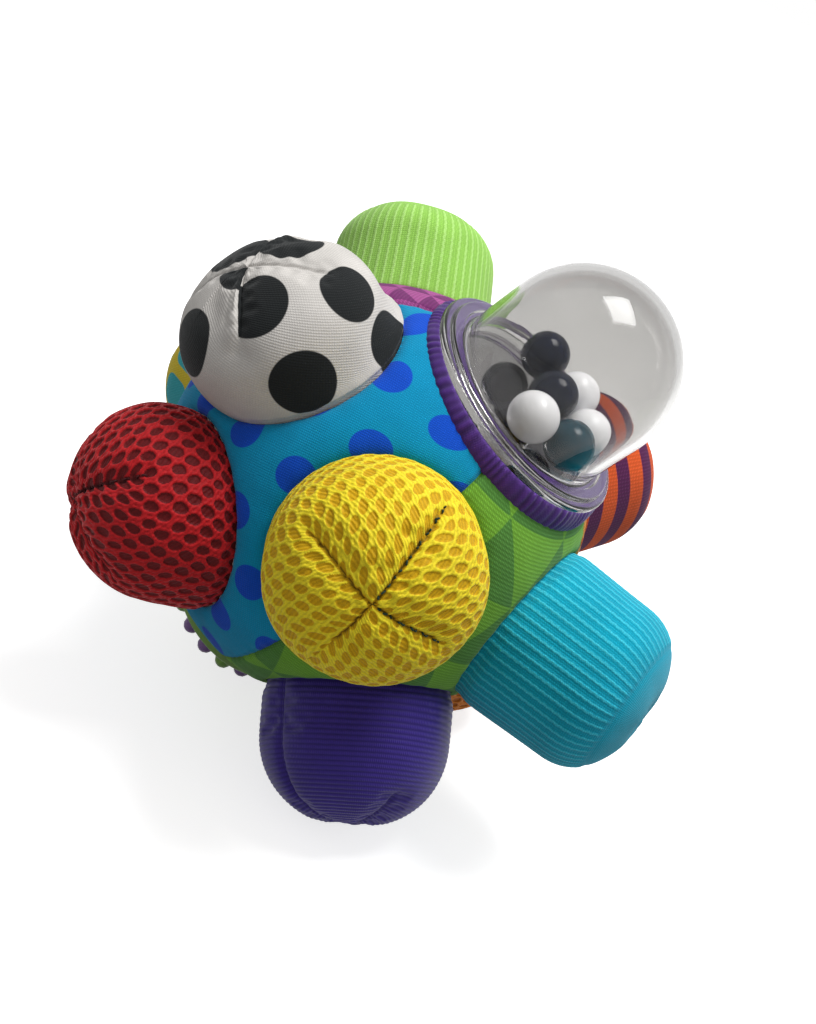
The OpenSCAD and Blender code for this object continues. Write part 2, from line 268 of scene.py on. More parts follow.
def cloth_material(name, ground, ink=None, yarn=(0.5, 0.5), turn=0, depth=0.12, valley_shade=0.6, fuzz=0.1,
                   sheen=0.1, rough=0.85, weft=1.0):
    """Cloth with an ink, yarns at two spacings in millimetres, painted shade in its hollows, uneven dye."""
    material, tree, out = new_material(name)
    uv = add(tree, "ShaderNodeUVMap", {"uv_map": "cloth"})
    grain = add(tree, "ShaderNodeMapping", {}, {"Vector": uv, "Rotation": (0, 0, np.radians(turn))})
    across = add(tree, "ShaderNodeTexWave", {"bands_direction": "X"},
                 {"Vector": grain, "Scale": WAVE_PERIOD / yarn[0], "Distortion": 0.6, "Detail Scale": 2.0})
    along = add(tree, "ShaderNodeTexWave", {"bands_direction": "Y"},
                {"Vector": grain, "Scale": WAVE_PERIOD / yarn[1], "Distortion": 0.9, "Detail Scale": 2.0})
    faint = add(tree, "ShaderNodeMapRange", {}, {"Value": across.outputs["Fac"], "To Min": 1 - weft})
    weave = add(tree, "ShaderNodeMath", {"operation": "MULTIPLY"}, {0: faint, 1: along.outputs["Fac"]})
    fibres = add(tree, "ShaderNodeTexNoise", {},
                 {"Vector": uv, "Scale": FIBRES_PER_MM, "Detail": 4.0, "Roughness": 0.7})
    clouds = add(tree, "ShaderNodeTexNoise", {}, {"Vector": uv, "Scale": CLOUDS_PER_MM, "Detail": 2.0})
    relief_shade = add(tree, "ShaderNodeAttribute", {"attribute_name": "relief_shade"})
    colour = linear(ground)[:3]
    if ink:
        edge = add(tree, "ShaderNodeAttribute", {"attribute_name": "print_mm"})
        inked = add(tree, "ShaderNodeMapRange", {"interpolation_type": "SMOOTHSTEP"},
                    {"Value": edge.outputs["Fac"], "From Min": INK_BLUR, "From Max": -INK_BLUR})
        colour = add(tree, "ShaderNodeMix", {"data_type": "RGBA"},
                     {"Factor": inked, "A": linear(ground), "B": linear(ink)}).outputs["Result"]
    # Painted shade: the stored value darkens hollows, creases and seams, down to the valley factor
    shaded = shaded_by(tree, colour, [
        (relief_shade.outputs["Fac"], (0, 1), valley_shade, 1), (weave, (0, 1), 1 - depth, 1 + depth / 2),
        (clouds.outputs["Fac"], NOISE_SPAN, 0.93, 1.05),
        (fibres.outputs["Fac"], NOISE_SPAN, 1 - fuzz, 1 + fuzz)])
    height = add(tree, "ShaderNodeMath", {"operation": "MULTIPLY_ADD"},
                 {0: fibres.outputs["Fac"], 1: 0.35, 2: weave})
    bump = add(tree, "ShaderNodeBump", {}, {"Height": height, "Strength": 0.55, "Distance": 0.12 * MM})
    shader = add(tree, "ShaderNodeBsdfPrincipled", {}, {
        "Base Color": shaded, "Roughness": rough, "IOR": 1.5, "Specular IOR Level": 0.12,
        "Sheen Weight": sheen, "Sheen Roughness": 0.5, "Normal": bump})
    tree.links.new(shader.outputs[0], out.inputs["Surface"])
    return material


print("a yarn wave of 0.5 mm has scale", round(WAVE_PERIOD / 0.5, 3))

# %% [markdown]
# A knob is a cloth cup: a side that leans in from its seam, a round shoulder and a flatter crown.
# The same few sizes as in the solids give its outline. Four darts meet at the tip, a little off the axis,
# because soft toys are sewn by hand and stuffed by feel. The ball's own middle lies off the crossing of the
# axes for the same reason, so a knob's side is longer where the skin falls away from it.

# %% Knob outlines
BALL_R = 48.2
BALL_MIDDLE = np.array([0, -2.6, 3.0])
SIDE_LEAN = np.radians(3)
TUCK, ARC_STEPS = 1.4, 200
ROUND = (21.7, 21.8, 8.5, 2.6)
BLUNT = (20.6, 28.3, 8.5, 1.8)
TAPERED = (21.1, 21.8, 2.5, 0.4)
# name: azimuth, polar angle, shape, shift of the tip, lean of the knob, turn of its darts, their four lengths
KNOBS = {
    "yellow_mesh": (-1, 65, ROUND, (1.7, 0.7), (0, 0), 8, (14, 18, 24, 19)),
    "white_dot": (-71, 61, ROUND, (2.1, 0.2), (2.2, 0.2), -12, (18, 20, 17, 20)),
    "red_mesh": (-44, 107, TAPERED, (1.3, -1.7), (-0.8, -1.5), -15, (19, 19, 21, 19)),
    "violet_rib": (41, 112, TAPERED, (0, 0), (0, 0), 8, (20, 20, 20, 42)),
    "turquoise_cord": (71, 66, BLUNT, (0, 0), (0, 0), 3, (5, 5, 5, 5)),
    "lime_cord": (-143, 64, BLUNT, (0, 0), (0, 0), 0, (5, 5, 5, 5)),
    "striped": (144, 63, BLUNT, (0, 0), (0, 0), 0, (20, 20, 20, 20)),
    "spotted": (-127, 112, ROUND, (0.8, -0.8), (0, 0), 6, (20, 20, 20, 20)),
    "orange_mesh": (113, 112, TAPERED, (0.8, 3), (0.8, 3), -5, (20, 20, 20, 20)),
    "pink_rib": (174, 109, ROUND, (-1, 0.6), (0, 0), 8, (20, 20, 20, 20)),
}


def seam_height(shape):
    """Height of a knob's seam over the crossing, if the ball's middle lay there."""
    return np.sqrt(BALL_R ** 2 - shape[0] ** 2)


def skin_height(x, y, middle):
    """Height of the skin over a plane through the crossing: the upper half of a sphere about a middle."""
    return middle[2] + np.sqrt(BALL_R ** 2 - (x - middle[0]) ** 2 - (y - middle[1]) ** 2)


def knob_outline(shape, rows, inset=0):
    """Radius, height and length left to the tip, evenly along the outline: a line, then two tangent arcs."""
    seam_r, height, flat, rise = shape
    seam_z = seam_height(shape)
    shoulder_r = (seam_r - flat) * np.cos(SIDE_LEAN)
    shoulder_z = BALL_R + height - rise - shoulder_r
    shoulder_x = flat - np.tan(SIDE_LEAN) * (shoulder_z - seam_z)
    crown_r = shoulder_r + (shoulder_x ** 2 + rise ** 2) / (2 * rise)
    crown_z = BALL_R + height - crown_r
    meet = np.pi / 2 - np.arctan2(shoulder_x, shoulder_z - crown_z)
    turn, over = np.linspace(SIDE_LEAN, meet, ARC_STEPS), np.linspace(meet, np.pi / 2, ARC_STEPS)[1:]
    r = np.concatenate([[seam_r - inset], shoulder_x + (shoulder_r - inset) * np.cos(turn),
                        (crown_r - inset) * np.cos(over)])
    z = np.concatenate([[seam_z - TUCK], shoulder_z + (shoulder_r - inset) * np.sin(turn),
                        crown_z + (crown_r - inset) * np.sin(over)])
    length = np.concatenate([[0], np.cumsum(np.hypot(np.diff(r), np.diff(z)))])
    even = np.linspace(0, length[-1], rows)
    return np.interp(even, length, r), np.interp(even, length, z), length[-1] - even


for knob, (_, _, shape, *_) in KNOBS.items():
    print(knob, "outline", round(knob_outline(shape, 9)[2][0], 1), "mm")

# %% [markdown]
# A cup is first drawn slack, a little inside its outline, with its darts pulled in.
# Its rim follows the skin, so the side stretches there. The tip drifts and the knob may lean, each over a
# length of its own, because no two knobs of a sewn toy are quite alike.

# %% Slack cups
COARSE_ROWS, COARSE_COLUMNS = 27, 64
START_INSET, DART_PULL, DART_PULL_WIDTH = 0.5, 0.5, 1.8
# Lengths over which a dart runs out, the tip drifts, the side stretches and the knob starts to lean
DART_END, TIP_DRIFT, SIDE_STRETCH, LEAN_START = 4, 17, 9, 14


def dart_places(angle, radius, left, turn, lengths):
    """Signed distance round the knob to the nearest of its four darts, and how far it is sewn, 0 to 1."""
    quarters = (angle - np.radians(turn)) / (np.pi / 2)
    nearest = np.round(quarters).astype(int)
    ends = np.array(lengths)[nearest % 4]
    return radius * (quarters - nearest) * np.pi / 2, smoothstep(ends, ends - DART_END, left)


def slack_cup(knob):
    """The cup before it is stuffed: the outline turned round the axis, its rim on the skin, its darts in."""
    azimuth, polar, shape, shift, lean, turn, lengths = KNOBS[knob]
    r, z, left = (a[:, None] for a in knob_outline(shape, COARSE_ROWS, START_INSET))
    angle = np.arange(COARSE_COLUMNS) * 2 * np.pi / COARSE_COLUMNS + np.radians(turn)
    off, sewn = dart_places(angle, r, left, turn, lengths)
    sewn = sewn * np.exp(-(off / DART_PULL_WIDTH) ** 2)
    drift = smoothstep(TIP_DRIFT, 0, left)
    x, y = r * np.cos(angle) + shift[0] * drift, r * np.sin(angle) + shift[1] * drift
    height = np.interp(np.hypot(x, y), r[::-1, 0], z[::-1, 0])
    rim = skin_height(shape[0] * np.cos(angle), shape[0] * np.sin(angle), BALL_MIDDLE @ aim(azimuth, polar))
    height = height + (rim - seam_height(shape)) * smoothstep(SIDE_STRETCH, 0, left[0] - left)
    leaning = smoothstep(0, LEAN_START, left[0] - left)
    points = np.stack([x + lean[0] * leaning, y + lean[1] * leaning, height], 2)
    outward = points - [0, 0, BALL_R + shape[1] / 3]
    outward /= np.linalg.norm(outward, axis=2, keepdims=True)
    return points - DART_PULL * sewn[..., None] * outward, sewn


print("a slack cup has", COARSE_ROWS, "rows of", COARSE_COLUMNS, "points")

# %% [markdown]
# The stuffing pushes the cloth out between the seams, so each cup is blown up by Blender's cloth solver.
# Its rim and its darts are held, as thread holds them, and a gentle pressure fills the panels. The solver
# likes things about a metre large, so a millimetre is 20 mm in there.

# %% Stuffing by simulation
SOLVER_SCALE, SOLVER_FRAMES, MOST_SWELL = 0.02, 18, 2.2
# Rows at the rim that are held, and how far a point is sewn that is held too
HELD_ROWS, HELD_FROM = 2, 0.6


def add_stuffing(cup, held):
    """The cloth solver on a cup: held points stay, gravity is off, and pressure pushes the panels out."""
    pins = cup.vertex_groups.new(name="sewn")
    pins.add(np.flatnonzero(held).tolist(), 1.0, "REPLACE")
    solver = cup.modifiers.new("stuffing", "CLOTH")
    settings = solver.settings
    settings.quality, settings.mass = 6, 0.25
    settings.tension_stiffness = settings.compression_stiffness = 18
    settings.shear_stiffness, settings.bending_stiffness = 8, 0.8
    settings.vertex_group_mass, settings.shrink_min = "sewn", -0.025
    settings.use_pressure, settings.uniform_pressure_force = True, 3.0
    settings.effector_weights.gravity = 0
    solver.collision_settings.use_collision = False
    solver.point_cache.frame_start, solver.point_cache.frame_end = 1, SOLVER_FRAMES


def stuffed_cups():
    """Every knob's coarse cup, blown up in one run of the solver, and its greatest swell in millimetres."""
    slack, rings = {}, COARSE_ROWS - 1
    faces, fan = grid_faces(rings, COARSE_COLUMNS, True), tip_fan(rings, COARSE_COLUMNS)
    for knob in KNOBS:
        points, sewn = slack_cup(knob)
        tip = points[-1].mean(0, keepdims=True)
        flat = np.concatenate([points[:-1].reshape(-1, 3), tip]) * SOLVER_SCALE
        cup = make_piece("slack_" + knob, flat, faces, fan)
        row = np.repeat(np.arange(rings), COARSE_COLUMNS)
        add_stuffing(cup, np.append((row < HELD_ROWS) | (sewn[:-1].ravel() > HELD_FROM), True))
        slack[knob] = (cup, flat)
    for number in range(1, SOLVER_FRAMES + 1):
        bpy.context.scene.frame_set(number)
    graph = bpy.context.evaluated_depsgraph_get()
    cups = {}
    for knob, (cup, flat) in slack.items():
        found = np.zeros(flat.size, np.float32)
        cup.evaluated_get(graph).data.vertices.foreach_get("co", found)
        move = (found.reshape(-1, 3) - flat) / SOLVER_SCALE
        far = np.linalg.norm(move, axis=1, keepdims=True)
        move *= np.minimum(1, MOST_SWELL / np.maximum(far, 1e-9))
        whole = flat / SOLVER_SCALE + move
        tip = np.repeat(whole[-1:], COARSE_COLUMNS, 0)
        cups[knob] = np.concatenate([whole[:-1], tip]).reshape(COARSE_ROWS, COARSE_COLUMNS, 3), far.max()
    bpy.context.scene.frame_set(1)
    for cup, _ in slack.values():
        mesh = cup.data
        bpy.data.objects.remove(cup)
        bpy.data.meshes.remove(mesh)
    return cups


cups = stuffed_cups()
print("swell in mm", {knob: round(float(swell), 2) for knob, (_, swell) in cups.items()})

# %% [markdown]
# A fine grid is drawn through each stuffed cup, and the cloth's threads are laid out on it.
# Between two darts lies one petal of cloth: threads run straight across a petal and stop at its darts,
# so the pattern is cut there as on a real sewn tip. Below the darts the cloth is one whole band.

# %% Cloth on a knob
def knob_grid(knob, rows, columns):
    """Fine points on a stuffed cup, and where each lies: length to the tip, angle, dart and threads."""
    _, _, shape, _, _, turn, lengths = KNOBS[knob]
    points = resample(cups[knob][0], rows, False)
    points = resample(points.swapaxes(0, 1), columns, True).swapaxes(0, 1)
    radius, _, left = (a[:, None] for a in knob_outline(shape, rows))
    angle = np.arange(columns) * 2 * np.pi / columns + np.radians(turn)
    quarter = columns // 4
    petal, place = np.divmod(np.arange(columns), quarter)
    dart, sewn = dart_places(angle, radius, left, turn, lengths)
    band_r = np.interp(min(np.median(lengths), left.max()), left[::-1, 0], radius[::-1, 0])
    width = shape[0] * np.minimum(1, radius / band_r) * np.pi / 2
    start = shape[0] * np.pi / 2 * petal + width * (place / quarter - 0.5)
    end = shape[0] * np.pi / 2 * petal + width * ((place + 1) / quarter - 0.5)
    return {"points": points, "left": left + 0 * angle, "angle": angle + 0 * left, "dart": dart, "sewn": sewn,
            "across": start, "across_end": end, "along": left[0] - left + 0 * angle}


def knob_threads(grid):
    """The UV of every face corner, in millimetres across and along the cloth, for the quads and the fan."""
    start, end, along = grid["across"], grid["across_end"], grid["along"]
    lower, upper = slice(0, -2), slice(1, -1)
    quads = np.stack([
        np.stack([start[lower], along[lower]], -1), np.stack([end[lower], along[lower]], -1),
        np.stack([end[upper], along[upper]], -1), np.stack([start[upper], along[upper]], -1)], 2)
    tip = np.stack([(start[-1] + end[-1]) / 2, along[-1]], -1)
    fan = np.stack([np.stack([start[-2], along[-2]], -1), np.stack([end[-2], along[-2]], -1), tip], 1)
    return np.concatenate([quads.reshape(-1, 2), fan.reshape(-1, 2)])


print("one petal of the yellow knob is", round(ROUND[0] * np.pi / 2, 1), "mm wide at its seam")

# %% [markdown]
# Sewing leaves its marks: creases and puckers along the darts, a gathered rim, and lumps where the filling
# is uneven. They are heights along the cloth's normals, added to the stuffed cup, because the solver's coarse
# grid can't show them. The cover then goes to its place on the ball, and stays just above the floor.

# %% Sewing and covers
# Millimetres that sewing and filling move the cloth, and the lengths over which they do
PUCKER, PUCKER_PITCH, PUCKER_WIDTH = 0.06, 2.7, 1.6
RIM_TUCK, RIM_TUCK_LENGTH = 0.7, 1.5
RIM_GATHERS, RIM_GATHER, RIM_GATHER_LENGTH = 26, 0.08, 4
LARGE_LUMP, SMALL_LUMP, LUMPS_FROM = 0.22, 0.13, 8
CREASE, CREASE_WIDTH = 0.45, 0.42
FLOOR_GAP = 0.15


def crease(grid, width):
    """1 along the sewn line of a dart, falling to 0 beside it as a bell curve this many millimetres wide."""
    return grid["sewn"] * np.exp(-(grid["dart"] / width) ** 2)


def sewing(grid, seed):
    """Height in millimetres that sewing gives: creased darts, puckers beside them, a gathered rim, lumps."""
    left, angle, along = grid["left"], grid["angle"], grid["along"]
    pucker = PUCKER * np.cos(2 * np.pi * left / PUCKER_PITCH + seed) * crease(grid, PUCKER_WIDTH)
    rim = RIM_GATHER * np.cos(RIM_GATHERS * angle + seed) * np.exp(-along / RIM_GATHER_LENGTH)
    rim -= RIM_TUCK * np.exp(-along / RIM_TUCK_LENGTH)
    lumps = LARGE_LUMP * np.sin(2 * angle + seed) * np.cos(left / 7 + seed)
    lumps += SMALL_LUMP * np.sin(5 * angle - seed) * np.sin(left / 6)
    return pucker + rim + lumps * smoothstep(0, LUMPS_FROM, left) - CREASE * crease(grid, CREASE_WIDTH)


def dress_knob(knob, grid, height, material, values):
    """Raises the cloth by a height along its normals, carries it to its place and makes the knob's cover."""
    azimuth, polar, *_ = KNOBS[knob]
    normals = ring_normals(grid["points"])
    normals[-1] = normals[-2].mean(0)
    points = grid["points"] + normals * height[..., None]
    points[-1] = points[-1].mean(0)
    world = stand(points @ aim(azimuth, polar).T)
    world[..., 2] = np.maximum(world[..., 2], FLOOR_GAP * MM)
    rows, columns = height.shape
    places = np.concatenate([world[:-1].reshape(-1, 3), world[-1, :1]])
    flat = {key: np.append(value[:-1].ravel(), value[-1, 0]) for key, value in values.items()}
    faces, fan = grid_faces(rows - 1, columns, True), tip_fan(rows - 1, columns)
    cover = make_piece(knob + "_knob", places, faces, fan, knob_threads(grid), flat)
    cover.data.materials.append(material)
    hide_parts(knob + "_knob_cover")
    grid["world"], grid["normals"] = world, normals @ aim(azimuth, polar).T @ standing.T


print("a dart is creased by", CREASE, "mm and a rim tucked in by", RIM_TUCK, "mm")

# %% [markdown]
# Three knobs wear spacer mesh, an airy knit whose holes lie in staggered rows.
# The holes are real dimples here, with a ring of yarn round each and a groove where two rings meet, because
# light catches their rims. The stored value is painted shade: 0 in a hole's floor, 1 on its rim, lower in
# the grooves and below 0 in a dart's crease. The finish turns it into a darker colour there, as painted
# shade.

# %% Spacer mesh
HOLE_PITCH, HOLE_ROW = 4.0, 2.8
HOLE_ACROSS, HOLE_ALONG = 1.22, 1.56
# Where a hole's rim rises and the groove round it falls, as shares of the hole's half size
RIM_RISE, GROOVE_FALL, GROOVE_DEPTH = (0.8, 1.03), (1.3, 1.65), 0.16
# Spacing of the loops of yarn in millimetres, and spots of noise per millimetre
LOOP_PITCH, MESH_FIBRES_PER_MM, MESH_CLOUDS_PER_MM = 0.62, 2.6, 0.1
# More than any distance that is worked out on the toy
FAR = 99.0


def mesh_holes(across, along):
    """Distance from the nearest hole's middle as a share of its half size, over two staggered lattices."""
    nearest = np.full(across.shape, FAR)
    for shift in (0, 0.5):
        x = ((across / HOLE_PITCH + shift) % 1 - 0.5) * HOLE_PITCH
        y = ((along / (2 * HOLE_ROW) + shift) % 1 - 0.5) * 2 * HOLE_ROW
        nearest = np.minimum(nearest, np.hypot(x / HOLE_ACROSS, y / HOLE_ALONG))
    return nearest


def mesh_material(name, yarn, floor):
    """Knitted polyester mesh: silky yarn on the rims, painted shade darker in its holes and creases."""
    material, tree, out = new_material(name)
    uv = add(tree, "ShaderNodeUVMap", {"uv_map": "cloth"})
    relief_shade = add(tree, "ShaderNodeAttribute", {"attribute_name": "relief_shade"})
    fibres = add(tree, "ShaderNodeTexNoise", {},
                 {"Vector": uv, "Scale": MESH_FIBRES_PER_MM, "Detail": 3.0, "Roughness": 0.65})
    loops = add(tree, "ShaderNodeTexWave", {"bands_direction": "DIAGONAL"},
                {"Vector": uv, "Scale": WAVE_PERIOD / LOOP_PITCH, "Distortion": 2.5, "Detail Scale": 1.5})
    clouds = add(tree, "ShaderNodeTexNoise", {}, {"Vector": uv, "Scale": MESH_CLOUDS_PER_MM, "Detail": 1.0})
    # Painted shade: a hole's floor takes the darker colour, and a dart's crease darkens it further
    rim = add(tree, "ShaderNodeMapRange", {"interpolation_type": "SMOOTHSTEP"},
              {"Value": relief_shade.outputs["Fac"], "From Min": 0.3, "From Max": 0.9})
    colour = add(tree, "ShaderNodeMix", {"data_type": "RGBA"},
                 {"Factor": rim, "A": linear(floor), "B": linear(yarn)})
    shaded = shaded_by(tree, colour.outputs["Result"], [
        (relief_shade.outputs["Fac"], (-1, 0), 0.3, 1), (fibres.outputs["Fac"], NOISE_SPAN, 0.86, 1.1),
        (loops.outputs["Fac"], (0, 1), 0.86, 1.08), (clouds.outputs["Fac"], NOISE_SPAN, 0.94, 1.04)])
    height = add(tree, "ShaderNodeMath", {"operation": "ADD"},
                 {0: fibres.outputs["Fac"], 1: loops.outputs["Fac"]})
    bump = add(tree, "ShaderNodeBump", {}, {"Height": height, "Strength": 0.5, "Distance": 0.18 * MM})
    shader = add(tree, "ShaderNodeBsdfPrincipled", {}, {
        "Base Color": shaded, "Roughness": 0.62, "IOR": 1.5, "Specular IOR Level": 0.18, "Sheen Weight": 0.05,
        "Sheen Roughness": 0.5, "Normal": bump})
    tree.links.new(shader.outputs[0], out.inputs["Surface"])
    return material


print("holes in a square centimetre", round(100 / (HOLE_PITCH * HOLE_ROW)))

# %% [markdown]
# Each mesh knob has its own yarn and depth of hole. The lattice of holes wanders a little, as a knit does
# when it is pulled over a round form.

# %% Mesh knobs
# knob: slot, yarn colour, painted shade colour in the holes, depth of the holes
MESH_KNOBS = {
    "yellow_mesh": ("yellow_spacer_mesh", "#f2dc28", "#d3a608", 0.3),
    "red_mesh": ("red_spacer_mesh", "#bd1a20", "#620c10", 0.5),
    "orange_mesh": ("orange_spacer_mesh", "#ee8a2c", "#b9640f", 0.45),
}
MESH_ROWS, MESH_COLUMNS = 150, 440
mesh_grids = {}
for seed, (knob, (slot, yarn, floor, depth)) in enumerate(MESH_KNOBS.items()):
    grid = knob_grid(knob, MESH_ROWS, MESH_COLUMNS)
    wander = 0.12 * np.sin(grid["along"] * 1.3 + grid["across"]) + 0.1 * np.sin(grid["across"] * 1.7)
    share = mesh_holes(grid["across"] + wander, grid["along"] + wander)
    rim = smoothstep(*RIM_RISE, share)
    groove = smoothstep(*GROOVE_FALL, share)
    height = sewing(grid, seed) - depth * (1 - rim) - GROOVE_DEPTH * groove
    # Painted shade: lower in the grooves between rings, and below 0 in a dart's crease
    relief_shade = rim * (1 - 0.3 * groove) - 1.4 * crease(grid, 0.3)
    dress_knob(knob, grid, height, mesh_material(slot, yarn, floor), {"relief_shade": relief_shade})
    mesh_grids[knob] = grid
print("mesh knobs", list(MESH_KNOBS), "holes at", HOLE_PITCH, "mm")

# %% [markdown]
# The white knob is smooth twill with big charcoal dots, placed one by one as they fall on the cut cloth.
# Each dot is a distance from its middle, so its edge stays sharp at any size of picture, and a dot that lies
# on one petal stops at that petal's darts. Two darts of this knob were sewn with a fold that stands up:
# a slope on one side, a drop on the other, and a dent in the cloth where the fold runs out.

# %% White twill with dots
DOT_R = 6.7
WHOLE = -1
# angle about the knob's axis in degrees, millimetres from its tip, and the petal that it is cut from
DOTS = [(82, 12.5, 1), (158, 19.5, WHOLE), (102, 30.2, WHOLE), (31, 22.5, WHOLE), (163, 34.6, WHOLE),
        (240, 8, 2), (-48, 12, 3), (20, 3.5, 0), (-120, 28, WHOLE), (-20, 36, WHOLE)]
FOLDED_DARTS = (1, 3)
FOLD_LENGTH, FOLD_HEIGHT, FOLD_DENT = 20, 1.1, 0.9
TWILL_ROWS, TWILL_COLUMNS, OUTLINE_POINTS = 150, 400, 400


def on_outline(shape, degrees, from_tip):
    """A point on a knob's outline at an angle and at a length from its tip."""
    r, z, left = knob_outline(shape, OUTLINE_POINTS)
    radius = np.interp(from_tip, left[::-1], r[::-1])
    height = np.interp(from_tip, left[::-1], z[::-1])
    return np.array([radius * np.cos(np.radians(degrees)), radius * np.sin(np.radians(degrees)), height])


def folds(grid, turn):
    """Height of the standing folds: a slope up to the dart, a drop past it, dents at its end and side."""
    number = np.round((grid["angle"] - np.radians(turn)) / (np.pi / 2)).astype(int) % 4
    folded = np.isin(number, FOLDED_DARTS)
    width = 0.25 + 0.1 * grid["left"]
    slope = smoothstep(-1.9 * width, -0.5 * width, grid["dart"])
    slope = slope * (1 - smoothstep(-0.1 * width, 0.25 * width, grid["dart"]))
    tall = smoothstep(FOLD_LENGTH + 1, FOLD_LENGTH - 5, grid["left"]) * smoothstep(0, 12, grid["left"])
    dent = np.exp(-((grid["left"] - FOLD_LENGTH - 2) / 3) ** 2 - (grid["dart"] / 4) ** 2)
    hollow = np.exp(-((grid["left"] - 14) / 6) ** 2 - ((grid["dart"] + 6) / 3.5) ** 2)
    return folded * (FOLD_HEIGHT * slope * tall - FOLD_DENT * (dent + hollow))


grid = knob_grid("white_dot", TWILL_ROWS, TWILL_COLUMNS)
turn = KNOBS["white_dot"][5]
petal = np.floor((grid["angle"] - np.radians(turn)) / (np.pi / 2)).astype(int) % 4
nearest = np.full(petal.shape, FAR)
for degrees, from_tip, own in DOTS:
    apart = np.linalg.norm(grid["points"] - on_outline(ROUND, degrees, from_tip), axis=2) - DOT_R
    nearest = np.where((own == WHOLE) | (petal == own), np.minimum(nearest, apart), nearest)
# Polyester twill, printed: dull white, with the dye sitting in the yarns
white_twill = cloth_material("white_dot_twill", "#d0ccc7", "#1d2021", yarn=(0.55, 0.55), turn=30, depth=0.1,
                             weft=0.6)
# Painted shade along the creases of the darts
dress_knob("white_dot", grid, sewing(grid, 4) + folds(grid, turn), white_twill,
           {"print_mm": nearest, "relief_shade": 1 - 0.4 * crease(grid, 0.35)})
print("dots on the white knob", len(DOTS))

# %% [markdown]
# Corduroy has raised wales that run from the seam towards the end of the knob.
# Here a wale is a thin ridge that zigzags as a knitted column does, on a soft brushed ground, and its paler
# colour is a painted highlight. A round cap closes the end of such a knob: its seam is a shallow groove with
# painted shade in it, and the ridges stop there.

# %% Corduroy
WALE_PITCH, WALE_RIDGE, WALE_ZIGZAG, ZIGZAG_STEP = 2.15, 0.3, 0.22, 0.85
# Painted shade on the ground is darkest this far from the middle of a ridge
WALE_SHADE, WALE_SHADE_WIDTH = 0.62, 0.25
CAP_SEAM, CAP_SEAM_WIDTH, CAP_SEAM_DEPTH = 16.5, 0.7, 0.1
CORD_ROWS, CORD_COLUMNS = 200, 420
# knob: slot, cloth colour, ridge colour as a painted highlight, ridge height
CORD_KNOBS = {
    "turquoise_cord": ("turquoise_corduroy", "#00a8c6", "#3cc9e0", 0.2),
    "lime_cord": ("lime_corduroy", "#9cd65c", "#b6e880", 0.13),
}
for seed, (knob, (slot, ground, ridge_highlight_colour, ridge_height)) in enumerate(CORD_KNOBS.items()):
    grid = knob_grid(knob, CORD_ROWS, CORD_COLUMNS)
    zigzag = WALE_ZIGZAG * np.abs((grid["along"] / ZIGZAG_STEP) % 2 - 1)
    off = np.abs(((grid["across"] + zigzag) / WALE_PITCH) % 1 - 0.5) * WALE_PITCH
    side = smoothstep(CAP_SEAM - 0.5, CAP_SEAM + 1.5, grid["left"])
    seam = np.exp(-((grid["left"] - CAP_SEAM) / CAP_SEAM_WIDTH) ** 2)
    ridge = side * np.exp(-(off / WALE_RIDGE) ** 2)
    height = sewing(grid, 7 + seed) + ridge_height * ridge - CAP_SEAM_DEPTH * seam
    # Brushed polyester corduroy: a soft nap that scatters light at its edges
    material = cloth_material(slot, ground, ridge_highlight_colour, yarn=(0.6, 0.5), fuzz=0.22, sheen=0.2, valley_shade=0.7)
    # Painted shade beside each ridge and in the cap's seam; the ridges are inked in the painted highlight
    # colour
    shade = np.exp(-((off - WALE_SHADE) / WALE_SHADE_WIDTH) ** 2) * side
    dress_knob(knob, grid, height, material,
               {"print_mm": off - WALE_RIDGE + 2 * (1 - side), "relief_shade": 1 - 0.4 * shade - 0.12 * seam})
print("wales round a corded knob", round(2 * np.pi * BLUNT[0] / WALE_PITCH))

# %% [markdown]
# Ottoman rib has plump ribs that lie round the knob, square to its axis, with a silky yarn over them.
# The yarns over the ribs lean to and fro, so the cloth shows fine chevrons from close by.

# %% Ottoman rib
RIB_PITCH, RIB_HEIGHT = 1.05, 0.12
RIB_ROWS, RIB_COLUMNS = 232, 240
# knob: slot, cloth colour
RIB_KNOBS = {"violet_rib": ("violet_ottoman_rib", "#3a2988"), "pink_rib": ("pink_ottoman_rib", "#dc5a94")}
for seed, (knob, (slot, ground)) in enumerate(RIB_KNOBS.items()):
    grid = knob_grid(knob, RIB_ROWS, RIB_COLUMNS)
    rib = np.abs(np.sin(np.pi * grid["along"] / RIB_PITCH))
    height = sewing(grid, 11 + seed) + RIB_HEIGHT * (rib - 0.5) * (1 - crease(grid, 0.9))
    # Polyester ottoman: silky yarns that catch a soft light on each rib
    material = cloth_material(slot, ground, yarn=(0.45, RIB_PITCH), depth=0.18, sheen=0.15, rough=0.5,
                              valley_shade=0.62)
    # Painted shade between the ribs and in the dart creases
    dress_knob(knob, grid, height, material, {"relief_shade": rib * (1 - 0.6 * crease(grid, 0.5))})
print("ribs on the violet knob", round(knob_outline(TAPERED, 9)[2][0] / RIB_PITCH))

# %% [markdown]
# The striped knob is a fine rib, printed in bands round its axis, and the spotted one a smooth knit
# with big rounded spots. Both prints are distances again: to the nearest band, and to the nearest spot.

# %% Stripes and spots
STRIPE_PERIOD, STRIPE_HALF, FIRST_STRIPE = 8.4, 2.0, 22.45
SPOT_PITCH, SPOT_HALF, SPOT_CORNER = 12.8, 4.9, 3.2
KNIT_ROWS, KNIT_COLUMNS = 124, 288
grid = knob_grid("striped", KNIT_ROWS, KNIT_COLUMNS)
within = (grid["left"] - FIRST_STRIPE + STRIPE_PERIOD / 2) % STRIPE_PERIOD
band = np.abs(within - STRIPE_PERIOD / 2) - STRIPE_HALF
# Polyester rib knit: matt, with fine lines along the knob
striped_rib = cloth_material("striped_rib", "#e8602c", "#5c2453", yarn=(0.9, 0.5), depth=0.25)
# Painted shade along the creases of the darts
dress_knob("striped", grid, sewing(grid, 15), striped_rib,
           {"print_mm": band, "relief_shade": 1 - 0.5 * crease(grid, 0.4)})

